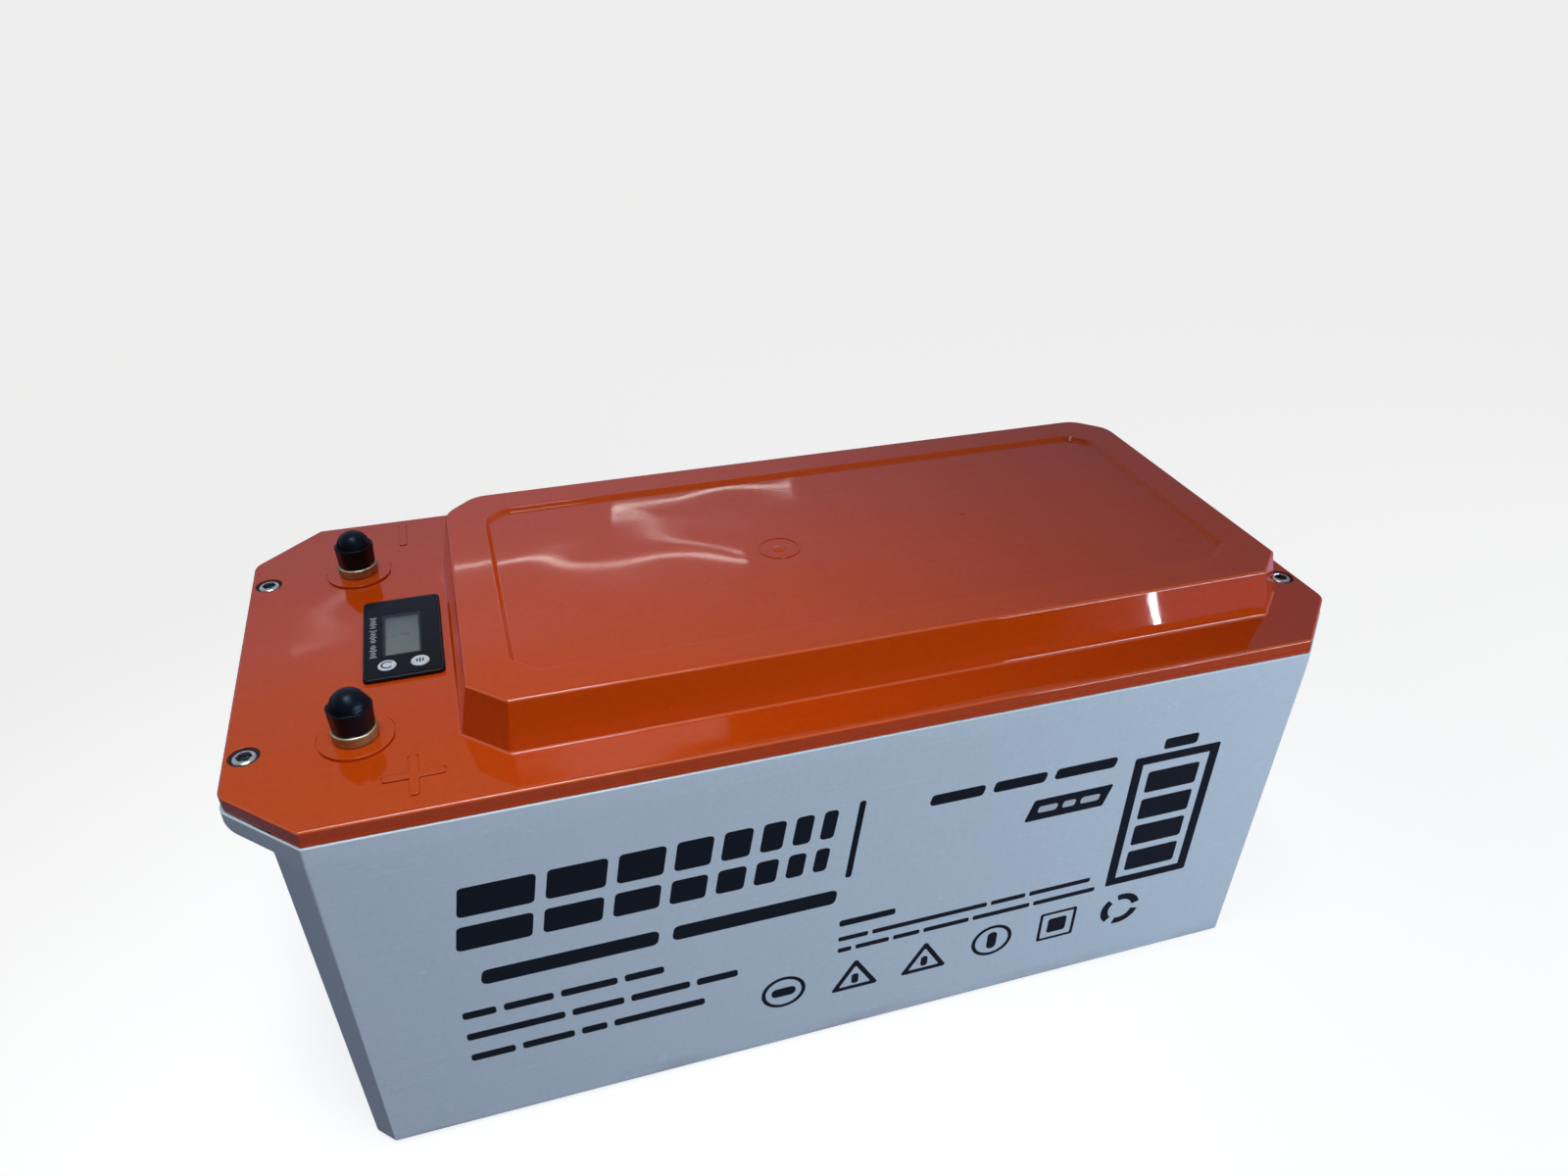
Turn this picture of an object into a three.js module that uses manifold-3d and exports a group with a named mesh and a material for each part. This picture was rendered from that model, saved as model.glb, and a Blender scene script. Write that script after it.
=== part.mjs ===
// Deep cycle lithium battery for motorhomes and caravans: a drafted plastic case under a screwed, domed lid
// with two brass terminals, a small digital battery meter, and a pack of four prismatic cells inside.
// Millimetres, +Z up. The origin is the middle of the footprint, and the terminals are at the -X end.

import * as THREE from 'three';
import { mergeVertices } from 'three/addons/utils/BufferGeometryUtils.js';
import Module from 'manifold-3d';

const wasm = await Module();
wasm.setup();

// ---- driving dimensions
const LENGTH = 500;
const WIDTH = 240;
const HEIGHT = 220;
const GAP = 0.3; // clearance that touching pieces keep
const SKIN = 1; // how far a cutting or joining shape runs past a face

const CORNER = { cut: 30.5, endRadius: 9, sideRadius: 2 };
const CASE = { rimTop: 190.2, ledge: 19, wall: 4, floor: 4, draft: 6.5, footRound: 4, endRadius: 4 };
const RIM = { height: 8.2, round: 3 };
const LID = { flange: 7, skin: 3, edgeRound: 1.4, tongueDepth: 6, tongueWall: 2 };
const DOME = { left: -154, right: 224.5, width: 183.5, cut: 13.5, draft: 4.3, edgeRound: 1.8, radius: 4 };
const RECESS = { inset: 18.75, depth: 2, cut: 10, radius: 3 };
const GASKET = { inset: 1, width: 2.6, thickness: 1.4 };
const POLARITY_MARK = { x: -177.4, plusY: -98, minusY: 102, length: 24, width: 3.6, height: 0.5 };
const RING_MARK = { x: 0, y: -4, radius: 11, width: 1.2, height: 0.4 };
const GATE_MARK = { x: 99, y: 5, radius: 1.4 };

const SCREW_PLACE = { fromEnd: 8.75, y: 67.5 };
const SCREW = { headRadius: 5, headHeight: 3, shankRadius: 3, length: 13, socket: 4 };
const COUNTERBORE_RADIUS = 6.1;
const INSERT = { radius: 4, length: 10 };
const BOSS = { radius: 7, drop: 6, floor: 3 };

const TERMINAL = { x: -199, y: 67.5, collarRadius: 9.15, collarHeight: 5, edge: 0.4, neckRadius: 7 };
const STUD = { radius: 6, length: 20 };
const PAD = { radius: 15.1, height: 1 };
const BOLT = { flats: 13, headHeight: 5.3, shankRadius: 4, length: 12 };
const WASHER = { radius: 6.9, thickness: 1.6 };
const SEAL = { radius: 10, thickness: 1.6 };
const LOCKNUT = { flats: 19, thickness: 5 };
const CAP = { height: 17, hexHeight: 10.2, shoulder: 0.8, domeRadius: 7.3, wall: 1.2 };
const CAP_HEXAGON = { flats: 17.2, cornerRadius: 5.5 };

const METER = { x: -179.3, y: 0.8, width: 34.6, length: 65.6, bezel: 2, bevel: 0.5, radius: 1.6, face: 1.8 };
const METER_BODY = { width: 29, length: 58, depth: 12, wall: 1.5 };
const WINDOW = { x: -0.3, y: 1.6, width: 17, length: 35, thickness: 0.9, sunk: 0.05, ledge: 1 };
const DISPLAY = { extraWidth: 3, extraLength: 2, thickness: 2.7 };
const METER_BOARD = { width: 25, length: 54, thickness: 1.6 };
const BUTTON = { spacing: 14, fromEdge: 9.7, radius: 4, proud: 0.35, thickness: 2.2 };

const CELL = { thickness: 53.6, width: 173.6, height: 200, radius: 3 };
const CELL_POST = { radius: 9, height: 2.5, y: 61 };
const CELL_VENT = { radius: 7, height: 0.4 };
const CELL_COUNT = 4;
const SEPARATOR = 1;
const END_PLATE = 4;
const PACK_CENTRE_X = 45;
const BUSBAR = { width: 24, thickness: 2, overlap: 11, reliefRadius: 4 };
const STRAP = { height: 16, thickness: 0.8 };
const STRAP_LEVELS = { lower: 60, upper: 150 };

const BMS = { width: 150, height: 96, base: 70, sink: 8, board: 1.6 };
const BMS_TAB = { y: 50, width: 20, height: 3, levels: [78, 92] };
const BMS_CHIP = { count: 6, pitch: 20, width: 10, height: 4, levels: [60, 75] };
const FIN_SLOT = { count: 9, first: 8, pitch: 9, height: 4, depth: 5 };

const CABLE_RADIUS = 4.5;
const BALANCE_LEAD_RADIUS = 1.6;
const METER_LEAD_RADIUS = 1.5;
const LUG = { radius: 8, thickness: 2.5, barrelRadius: 5.6, barrelLength: 14, grip: 8 };
const PACK_LUG = { tongue: 36, hole: 3 };
const STUD_LUG_TONGUE = 12;

const FLOOR_PAD = 2;
const FOAM = { side: 102, inner: 88.6, leftEnd: -216, leftInner: -104, rightEnd: 216, packGap: 2 };
const FOAM_TOPS = { left: 140, right: 150, front: 148, back: 184 };
const TOP_BOARD = { halfWidth: 80, thickness: 1 };

// Facets round a circle, and steps round the corner of an outline.
const ROUND = 20;
const SMALL_ROUND = 14;
const LARGE_ROUND = 30;
const CORNER_STEPS = 3;
const CABLE_SIDES = 8;

// ---- derived levels
const LID_BASE = CASE.rimTop + GAP;
const FLANGE_TOP = LID_BASE + LID.flange;
const PAD_TOP = FLANGE_TOP + PAD.height;
const RECESS_FLOOR = HEIGHT - RECESS.depth;
const DOME_CEILING = RECESS_FLOOR - LID.skin;
const RIM_BASE = CASE.rimTop - RIM.height;
const FLANGE_UNDERSIDE = FLANGE_TOP - LID.skin;
const DOME_CENTRE_X = (DOME.left + DOME.right) / 2;
const SCREW_X = LENGTH / 2 - SCREW_PLACE.fromEnd;
const FLOOR_LEVEL = CASE.floor + GAP;
const CELL_BASE = FLOOR_LEVEL + FLOOR_PAD + GAP;
const CELL_TOP = CELL_BASE + CELL.height;
const BUSBAR_BASE = CELL_TOP + CELL_POST.height + GAP;
const CELL_PITCH = CELL.thickness + SEPARATOR + 2 * GAP;

// ---- materials
const plastic = (color, roughness) => new THREE.MeshStandardMaterial({ color, roughness, metalness: 0 });
const metal = (color, roughness) => new THREE.MeshStandardMaterial({ color, roughness, metalness: 1 });

const MATERIALS = {
  caseWhite: plastic('#d9dde0', 0.38),
  lidOrange: plastic('#c9481c', 0.2),
  gasketRubber: plastic('#2b2b2d', 0.8),
  stainless: metal('#c9ccd0', 0.3),
  brass: metal('#b58a45', 0.35),
  capBlack: plastic('#0c0d12', 0.45),
  meterBlack: plastic('#08090c', 0.12),
  lcdGrey: plastic('#5f6a68', 0.2),
  windowClear: plastic('#9aa3a2', 0.05),
  buttonWhite: plastic('#e8eaec', 0.5),
  circuitGreen: plastic('#1d5a3a', 0.5),
  cellBlue: plastic('#2b5fa6', 0.35),
  boardYellow: plastic('#c7b470', 0.6),
  aluminium: metal('#d0d2d4', 0.35),
  strapGreen: plastic('#2e6b4a', 0.5),
  foamGrey: plastic('#4a4c50', 0.95),
  cableRed: plastic('#a31a17', 0.5),
  cableBlack: plastic('#161618', 0.5),
};

// ---- solids and booleans
function toSolid(shape) {
  if (shape instanceof wasm.Manifold) {
    return shape;
  }
  const bare = shape.clone();
  bare.deleteAttribute('normal');
  bare.deleteAttribute('uv');
  const merged = mergeVertices(bare);
  const corners = Array.from(merged.index.array);
  const triVerts = [];
  for (let i = 0; i < corners.length; i += 3) {
    const [a, b, c] = corners.slice(i, i + 3);
    if (a !== b && b !== c && c !== a) {
      triVerts.push(a, b, c);
    }
  }
  return new wasm.Manifold(new wasm.Mesh({
    numProp: 3,
    vertProperties: new Float32Array(merged.attributes.position.array),
    triVerts: new Uint32Array(triVerts),
  }));
}

function toGeometry(shape) {
  const mesh = toSolid(shape).getMesh();
  const geometry = new THREE.BufferGeometry();
  geometry.setAttribute('position', new THREE.BufferAttribute(mesh.vertProperties, 3));
  geometry.setIndex(new THREE.BufferAttribute(mesh.triVerts, 1));
  geometry.computeVertexNormals();
  return geometry;
}

const join = (...shapes) => shapes.map(toSolid).reduce((whole, next) => whole.add(next));

function cut(whole, ...tools) {
  return tools.map(toSolid).reduce((rest, tool) => rest.subtract(tool), toSolid(whole));
}

// ---- basic shapes
// A box between two corners.
function block([x0, x1], [y0, y1], [z0, z1]) {
  const geometry = new THREE.BoxGeometry(x1 - x0, y1 - y0, z1 - z0);
  return geometry.translate((x0 + x1) / 2, (y0 + y1) / 2, (z0 + z1) / 2);
}

// A box centred on a point in plan, standing between two levels.
function slab(x, y, sizeX, sizeY, z0, z1) {
  return block([x - sizeX / 2, x + sizeX / 2], [y - sizeY / 2, y + sizeY / 2], [z0, z1]);
}

function cylinder(radius, z0, z1, x = 0, y = 0, sides = ROUND) {
  const geometry = new THREE.CylinderGeometry(radius, radius, z1 - z0, sides);
  return geometry.rotateX(Math.PI / 2).translate(x, y, (z0 + z1) / 2);
}

const hexPrism = (flats, z0, z1) => cylinder(flats / Math.sqrt(3), z0, z1, 0, 0, 6);

// A turned piece about Z from [radius, height] points that start and end on the axis.
function turned(profile, sides = ROUND) {
  const points = profile.map(([radius, height]) => new THREE.Vector2(radius, height));
  return new THREE.LatheGeometry(points, sides).rotateX(Math.PI / 2);
}

// Arc points that replace one corner of a counter-clockwise outline.
function roundCorner(before, corner, after, radius, segments) {
  const toBefore = before.clone().sub(corner).normalize();
  const toAfter = after.clone().sub(corner).normalize();
  const halfAngle = Math.acos(toBefore.dot(toAfter)) / 2;
  const toCentre = toBefore.clone().add(toAfter).setLength(radius / Math.sin(halfAngle));
  const centre = corner.clone().add(toCentre);
  const start = toBefore.multiplyScalar(radius / Math.tan(halfAngle)).add(corner);
  const turn = Math.PI - 2 * halfAngle;
  const pointAt = (_, i) => start.clone().rotateAround(centre, (turn * i) / segments);
  return Array.from({ length: segments + 1 }, pointAt);
}

function roundedOutline(corners, radii, segments) {
  return corners.flatMap((corner, i) => {
    const before = corners[(i + corners.length - 1) % corners.length];
    const after = corners[(i + 1) % corners.length];
    return roundCorner(before, corner, after, radii[i], segments);
  });
}

// Eight-sided outline with 45 degree corner cuts, moved inwards by inset.
function octagon(form, inset = 0) {
  const x = form.length / 2 - inset;
  const y = form.width / 2 - inset;
  const corner = Math.max(form.cut - inset * (2 - Math.SQRT2), 0.5);
  const end = Math.max(form.endRadius - inset, 0.4);
  const side = Math.max(form.sideRadius - inset, 0.4);
  const corners = [
    [x - corner, -y], [x, -y + corner], [x, y - corner], [x - corner, y],
    [-x + corner, y], [-x, y - corner], [-x, -y + corner], [-x + corner, -y],
  ].map(([px, py]) => new THREE.Vector2(px + (form.x ?? 0), py));
  return roundedOutline(corners, [side, end, end, side, side, end, end, side], CORNER_STEPS);
}

function rectangle(x, y, sizeX, sizeY, radius) {
  const corners = [[-1, -1], [1, -1], [1, 1], [-1, 1]]
    .map(([sx, sy]) => new THREE.Vector2(x + (sx * sizeX) / 2, y + (sy * sizeY) / 2));
  return roundedOutline(corners, [radius, radius, radius, radius], CORNER_STEPS);
}

// Joins outlines of equal point count, each at its own height, into one closed solid.
function loft(sections) {
  const ring = sections[0].points.length;
  const positions = sections.flatMap(({ points, z }) => points.flatMap((point) => [point.x, point.y, z]));
  const index = [];
  for (let level = 0; level < sections.length - 1; level += 1) {
    for (let i = 0; i < ring; i += 1) {
      const a = level * ring + i;
      const b = level * ring + ((i + 1) % ring);
      index.push(a, b, b + ring, a, b + ring, a + ring);
    }
  }
  const top = (sections.length - 1) * ring;
  THREE.ShapeUtils.triangulateShape(sections[0].points, []).forEach(([a, b, c]) => {
    index.push(a, c, b, top + a, top + b, top + c);
  });
  const geometry = new THREE.BufferGeometry();
  geometry.setAttribute('position', new THREE.Float32BufferAttribute(positions, 3));
  geometry.setIndex(index);
  return geometry;
}

// A moulding of one eight-sided form whose [height, inset] levels give its draft and rounded edges.
const moulding = (form, levels) => loft(levels.map(([z, inset]) => ({ points: octagon(form, inset), z })));

const prism = (points, z0, z1) => loft([{ points, z: z0 }, { points, z: z1 }]);

const ROUND_EDGE = [0, 45, 90];

// [height, inset] steps of a rounded edge that ends at a flat top.
function roundedTop(top, inset, radius) {
  return ROUND_EDGE.map((degrees) => {
    const angle = THREE.MathUtils.degToRad(degrees);
    return [top - radius * (1 - Math.sin(angle)), inset + radius * (1 - Math.cos(angle))];
  });
}

// ---- assembly helper
const battery = new THREE.Group();

function place(name, shape, material, x = 0, y = 0, z = 0) {
  const mesh = new THREE.Mesh(toGeometry(shape), material);
  mesh.name = name;
  mesh.position.set(x, y, z);
  battery.add(mesh);
}

const SCREW_PLACES = [[-1, -1], [-1, 1], [1, -1], [1, 1]]
  .map(([sideX, sideY]) => [sideX * SCREW_X, sideY * SCREW_PLACE.y]);
const TERMINALS = [{ name: 'positive', side: -1 }, { name: 'negative', side: 1 }];

// ---- case
const RIM_FORM = { length: LENGTH, width: WIDTH, ...CORNER };
const BODY_FORM = {
  length: LENGTH - 2 * CASE.ledge,
  width: WIDTH,
  cut: CORNER.cut - CASE.ledge,
  endRadius: CASE.endRadius,
  sideRadius: CORNER.sideRadius,
};

function caseBody() {
  const foot = ROUND_EDGE.toReversed().map((degrees) => {
    const angle = THREE.MathUtils.degToRad(degrees);
    return [CASE.footRound * (1 - Math.sin(angle)), CASE.draft + CASE.footRound * (1 - Math.cos(angle))];
  });
  const body = moulding(BODY_FORM, [...foot, [RIM_BASE, 0], [CASE.rimTop - SKIN, 0]]);
  const underside = roundedTop(0, 0, RIM.round).reverse().map(([z, inset]) => [RIM_BASE - z, inset]);
  const rim = moulding(RIM_FORM, [...underside, [CASE.rimTop, 0]]);
  const cavity = moulding(BODY_FORM, [
    [CASE.floor, CASE.draft + CASE.wall],
    [RIM_BASE, CASE.wall],
    [CASE.rimTop + SKIN, CASE.wall],
  ]);
  const bossBase = RIM_BASE - BOSS.drop;
  const bosses = SCREW_PLACES.map(([x, y]) => cylinder(BOSS.radius, bossBase, RIM_BASE + SKIN, x, y));
  const bores = SCREW_PLACES.map(([x, y]) => {
    return cylinder(INSERT.radius + GAP, bossBase + BOSS.floor, CASE.rimTop + SKIN, x, y, SMALL_ROUND);
  });
  return cut(join(body, rim, ...bosses), cavity, ...bores);
}

// ---- lid
const DOME_FORM = {
  x: DOME_CENTRE_X,
  length: DOME.right - DOME.left + 2 * DOME.draft,
  width: DOME.width + 2 * DOME.draft,
  cut: DOME.cut + DOME.draft,
  endRadius: DOME.radius,
  sideRadius: DOME.radius,
};
const RECESS_FORM = {
  x: DOME_CENTRE_X,
  length: DOME.right - DOME.left - 2 * RECESS.inset,
  width: DOME.width - 2 * RECESS.inset,
  cut: RECESS.cut,
  endRadius: RECESS.radius,
  sideRadius: RECESS.radius,
};

function lidHollow() {
  const tongueInside = CASE.wall + GAP + LID.tongueWall;
  const flangeHollow = moulding(BODY_FORM, [
    [LID_BASE - LID.tongueDepth - SKIN, tongueInside],
    [FLANGE_UNDERSIDE, tongueInside],
  ]);
  const domeHollow = moulding(DOME_FORM, [
    [FLANGE_UNDERSIDE - SKIN, LID.skin],
    [DOME_CEILING, LID.skin + DOME.draft],
  ]);
  return join(flangeHollow, domeHollow);
}

function gasketRing(clearance) {
  const inner = GASKET.inset + GASKET.width + clearance;
  const base = CASE.rimTop + GAP - clearance;
  const top = base + GASKET.thickness + 2 * clearance;
  const outside = moulding(BODY_FORM, [[base, GASKET.inset - clearance], [top, GASKET.inset - clearance]]);
  return cut(outside, moulding(BODY_FORM, [[base - SKIN, inner], [top + SKIN, inner]]));
}

function polarityMarks() {
  const { x, plusY, minusY, length, width, height } = POLARITY_MARK;
  const levels = [FLANGE_TOP - SKIN, FLANGE_TOP + height];
  const bar = (y) => slab(x, y, width, length, ...levels);
  const crossBar = slab(x, plusY, length, width, ...levels);
  return join(bar(plusY), crossBar, bar(minusY));
}

function mouldMarks() {
  const { x, y, radius, width, height } = RING_MARK;
  const levels = [RECESS_FLOOR - SKIN, RECESS_FLOOR + height];
  const disc = cylinder(radius, ...levels, x, y, LARGE_ROUND);
  const middle = cylinder(radius - width, RECESS_FLOOR, RECESS_FLOOR + SKIN, x, y, LARGE_ROUND);
  const gate = cylinder(GATE_MARK.radius, ...levels, GATE_MARK.x, GATE_MARK.y, SMALL_ROUND);
  return join(cut(disc, middle), gate);
}

function lid() {
  const flange = moulding(RIM_FORM, [[LID_BASE, 0], ...roundedTop(FLANGE_TOP, 0, LID.edgeRound)]);
  const domeTop = roundedTop(HEIGHT, DOME.draft, DOME.edgeRound);
  const dome = moulding(DOME_FORM, [[FLANGE_TOP - SKIN, 0], ...domeTop]);
  const tongue = moulding(BODY_FORM, [
    [LID_BASE - LID.tongueDepth, CASE.wall + GAP],
    [LID_BASE + SKIN, CASE.wall + GAP],
  ]);
  const pads = TERMINALS.map(({ side }) => {
    return cylinder(PAD.radius, FLANGE_TOP - SKIN, PAD_TOP, TERMINAL.x, side * TERMINAL.y, LARGE_ROUND);
  });
  const recess = moulding(RECESS_FORM, [[RECESS_FLOOR, RECESS.depth], [HEIGHT + SKIN, -SKIN]]);
  const counterbores = SCREW_PLACES.flatMap(([x, y]) => [
    cylinder(COUNTERBORE_RADIUS, FLANGE_TOP - SCREW.headHeight - GAP, FLANGE_TOP + SKIN, x, y),
    cylinder(SCREW.shankRadius + GAP, LID_BASE - SKIN, FLANGE_TOP, x, y, SMALL_ROUND),
  ]);
  const terminalHoles = TERMINALS.map(({ side }) => {
    const radius = TERMINAL.neckRadius + GAP;
    return cylinder(radius, FLANGE_UNDERSIDE - SKIN, PAD_TOP + SKIN, TERMINAL.x, side * TERMINAL.y);
  });
  const meterHole = slab(
    METER.x, METER.y,
    METER_BODY.width + 2 * GAP, METER_BODY.length + 2 * GAP,
    FLANGE_UNDERSIDE - SKIN, FLANGE_TOP + SKIN,
  );
  const shell = cut(join(flange, dome, tongue, ...pads), lidHollow(), recess);
  const marked = join(shell, polarityMarks(), mouldMarks());
  return cut(marked, gasketRing(GAP), meterHole, ...counterbores, ...terminalHoles);
}

// ---- lid screws and their inserts
function lidScrew() {
  const { headRadius, headHeight, shankRadius, length, socket } = SCREW;
  const screw = turned([
    [0, -length], [shankRadius, -length], [shankRadius, 0], [headRadius, 0], [headRadius, headHeight * 0.35],
    [headRadius * 0.86, headHeight * 0.75], [headRadius * 0.6, headHeight], [0, headHeight],
  ], SMALL_ROUND);
  return cut(screw, hexPrism(socket, headHeight * 0.3, headHeight + SKIN));
}

const screwInsert = cut(
  cylinder(INSERT.radius, -INSERT.length, 0, 0, 0, SMALL_ROUND),
  cylinder(SCREW.shankRadius + GAP, -INSERT.length - SKIN, SKIN, 0, 0, SMALL_ROUND),
);

// ---- terminals
// A collar on the pad, a neck through the lid and a stud below it. Its zero is the pad's top.
function terminal() {
  const { collarRadius, collarHeight, edge, neckRadius } = TERMINAL;
  const neckBase = FLANGE_UNDERSIDE - PAD_TOP - GAP;
  const studBase = neckBase - STUD.length;
  const body = turned([
    [0, studBase], [STUD.radius, studBase], [STUD.radius, neckBase], [neckRadius, neckBase],
    [neckRadius, GAP], [collarRadius, GAP], [collarRadius, collarHeight - edge],
    [collarRadius - edge, collarHeight], [0, collarHeight],
  ]);
  const boreBase = collarHeight - BOLT.length - SKIN;
  return cut(body, cylinder(BOLT.shankRadius + GAP, boreBase, collarHeight + SKIN));
}

function ringWasher(outerRadius, innerRadius, thickness) {
  return cut(cylinder(outerRadius, 0, thickness), cylinder(innerRadius, -SKIN, thickness + SKIN));
}

const locknut = cut(
  hexPrism(LOCKNUT.flats, 0, LOCKNUT.thickness),
  cylinder(STUD.radius + GAP, -SKIN, LOCKNUT.thickness + SKIN),
);

const terminalBolt = join(
  hexPrism(BOLT.flats, 0, BOLT.headHeight),
  cylinder(BOLT.shankRadius, -BOLT.length, SKIN, 0, 0, SMALL_ROUND),
);

// Rounded hexagon of a given width across its flats.
function hexagon(flats, radius) {
  const corners = Array.from({ length: 6 }, (_, i) => {
    const angle = ((i + 0.5) * Math.PI) / 3;
    return new THREE.Vector2(Math.cos(angle), Math.sin(angle)).multiplyScalar(flats / Math.sqrt(3));
  });
  return roundedOutline(corners, Array(6).fill(radius), CORNER_STEPS);
}

// Push-on cap: a rounded hexagonal skirt with a soft shoulder under a round dome.
function terminalCap() {
  const { height, hexHeight, shoulder, domeRadius, wall } = CAP;
  const { flats, cornerRadius } = CAP_HEXAGON;
  const skirt = loft([
    { points: hexagon(flats, cornerRadius), z: 0 },
    { points: hexagon(flats, cornerRadius), z: hexHeight - shoulder },
    { points: hexagon(flats - shoulder, cornerRadius), z: hexHeight },
  ]);
  const domeCentre = height - domeRadius;
  const dome = new THREE.SphereGeometry(domeRadius, ROUND, SMALL_ROUND).translate(0, 0, domeCentre);
  const hollowTop = WASHER.thickness + BOLT.headHeight + 2 * GAP;
  const hollow = prism(hexagon(flats - 2 * wall, cornerRadius - wall), -SKIN, hollowTop);
  return cut(join(skirt, dome), hollow);
}

// ---- battery meter
// The meter's own frame has its zero on the lid's top face, at the middle of its bezel.
const KEY_PLACES = { select: -BUTTON.spacing / 2, set: BUTTON.spacing / 2 };
const KEY_Y = -METER.length / 2 + BUTTON.fromEdge;

function meterHousing() {
  const { width, length, bezel, bevel, radius, face } = METER;
  const { wall, depth } = METER_BODY;
  const windowSeat = bezel - WINDOW.thickness - GAP;
  const plate = loft([
    { points: rectangle(0, 0, width, length, radius), z: GAP },
    { points: rectangle(0, 0, width, length, radius), z: bezel - bevel },
    { points: rectangle(0, 0, width - 2 * bevel, length - 2 * bevel, radius), z: bezel },
  ]);
  const body = slab(0, 0, METER_BODY.width, METER_BODY.length, -depth, bezel - SKIN);
  const inside = [METER_BODY.width - 2 * wall, METER_BODY.length - 2 * wall];
  const hollow = slab(0, 0, ...inside, -depth - SKIN, bezel - face);
  const seatSize = [WINDOW.width + 2 * GAP, WINDOW.length + 2 * GAP];
  const seat = slab(WINDOW.x, WINDOW.y, ...seatSize, windowSeat, bezel + SKIN);
  const viewSize = [WINDOW.width - 2 * WINDOW.ledge, WINDOW.length - 2 * WINDOW.ledge];
  const view = slab(WINDOW.x, WINDOW.y, ...viewSize, -SKIN, bezel + SKIN);
  const keyholes = Object.values(KEY_PLACES).map((x) => {
    return cylinder(BUTTON.radius + GAP, -SKIN, bezel + SKIN, x, KEY_Y);
  });
  return cut(join(plate, body), hollow, seat, view, ...keyholes);
}

function addMeter() {
  const put = (name, shape, material) => place(name, shape, material, METER.x, METER.y, FLANGE_TOP);
  const windowLevels = [METER.bezel - WINDOW.thickness, METER.bezel - WINDOW.sunk];
  const window = slab(WINDOW.x, WINDOW.y, WINDOW.width, WINDOW.length, ...windowLevels);
  const displaySize = [WINDOW.width + DISPLAY.extraWidth, WINDOW.length + DISPLAY.extraLength];
  const displayBase = -GAP - DISPLAY.thickness;
  const display = slab(WINDOW.x, WINDOW.y, ...displaySize, displayBase, -GAP);
  const boardTop = displayBase - GAP;
  const board = slab(0, 0, METER_BOARD.width, METER_BOARD.length, boardTop - METER_BOARD.thickness, boardTop);
  put('meter_housing', meterHousing(), MATERIALS.meterBlack);
  put('meter_window', window, MATERIALS.windowClear);
  put('meter_lcd', display, MATERIALS.lcdGrey);
  put('meter_circuit_board', board, MATERIALS.circuitGreen);
  const key = cylinder(BUTTON.radius, -BUTTON.thickness, BUTTON.proud);
  const keyLevel = FLANGE_TOP + METER.bezel;
  Object.entries(KEY_PLACES).forEach(([label, x]) => {
    place(`meter_${label}_button`, key, MATERIALS.buttonWhite, METER.x + x, METER.y + KEY_Y, keyLevel);
  });
}

// ---- cell pack
const cellX = (index) => PACK_CENTRE_X + (index - (CELL_COUNT - 1) / 2) * CELL_PITCH;
const PACK_HALF_X = ((CELL_COUNT - 1) / 2) * CELL_PITCH + CELL.thickness / 2 + GAP + END_PLATE;
const PACK_LEFT = PACK_CENTRE_X - PACK_HALF_X;
const PACK_RIGHT = PACK_CENTRE_X + PACK_HALF_X;

function cell() {
  const can = prism(rectangle(0, 0, CELL.thickness, CELL.width, CELL.radius), 0, CELL.height);
  const postLevels = [CELL.height - SKIN, CELL.height + CELL_POST.height];
  const posts = [-1, 1].map((side) => {
    return cylinder(CELL_POST.radius, ...postLevels, 0, side * CELL_POST.y, SMALL_ROUND);
  });
  const ventTop = CELL.height + CELL_VENT.height;
  const vent = cylinder(CELL_VENT.radius, CELL.height - SKIN, ventTop, 0, 0, SMALL_ROUND);
  return join(can, ...posts, vent);
}

function addCellPack() {
  const can = cell();
  for (let i = 0; i < CELL_COUNT; i += 1) {
    place(`cell_${i + 1}`, can, MATERIALS.cellBlue, cellX(i), 0, CELL_BASE);
  }
  const board = (thickness) => slab(0, 0, thickness, CELL.width, 0, CELL.height);
  for (let i = 0; i < CELL_COUNT - 1; i += 1) {
    const x = (cellX(i) + cellX(i + 1)) / 2;
    const side = i % 2 === 0 ? 1 : -1;
    place(`cell_separator_${i + 1}`, board(SEPARATOR), MATERIALS.boardYellow, x, 0, CELL_BASE);
    place(`busbar_${i + 1}`, busbar(), MATERIALS.aluminium, x, side * CELL_POST.y, BUSBAR_BASE);
  }
  const plates = { left: PACK_LEFT + END_PLATE / 2, right: PACK_RIGHT - END_PLATE / 2 };
  Object.entries(plates).forEach(([end, x]) => {
    place(`end_plate_${end}`, board(END_PLATE), MATERIALS.boardYellow, x, 0, CELL_BASE);
  });
  Object.entries(STRAP_LEVELS).forEach(([level, z]) => {
    place(`pack_strap_${level}`, packStrap(), MATERIALS.strapGreen, PACK_CENTRE_X, 0, CELL_BASE + z);
  });
}

// Series link between two cells, with a hole over the middle of each post.
function busbar() {
  const half = CELL_PITCH / 2 + BUSBAR.overlap;
  const plate = slab(0, 0, 2 * half, BUSBAR.width, 0, BUSBAR.thickness);
  const reliefs = [-1, 1].map((side) => {
    const x = (side * CELL_PITCH) / 2;
    return cylinder(BUSBAR.reliefRadius, -SKIN, BUSBAR.thickness + SKIN, x, 0, SMALL_ROUND);
  });
  return cut(plate, ...reliefs);
}

function packStrap() {
  const insideX = 2 * (PACK_HALF_X + GAP);
  const insideY = CELL.width + 2 * GAP;
  const outer = slab(0, 0, insideX + 2 * STRAP.thickness, insideY + 2 * STRAP.thickness, 0, STRAP.height);
  return cut(outer, slab(0, 0, insideX, insideY, -SKIN, STRAP.height + SKIN));
}

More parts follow.
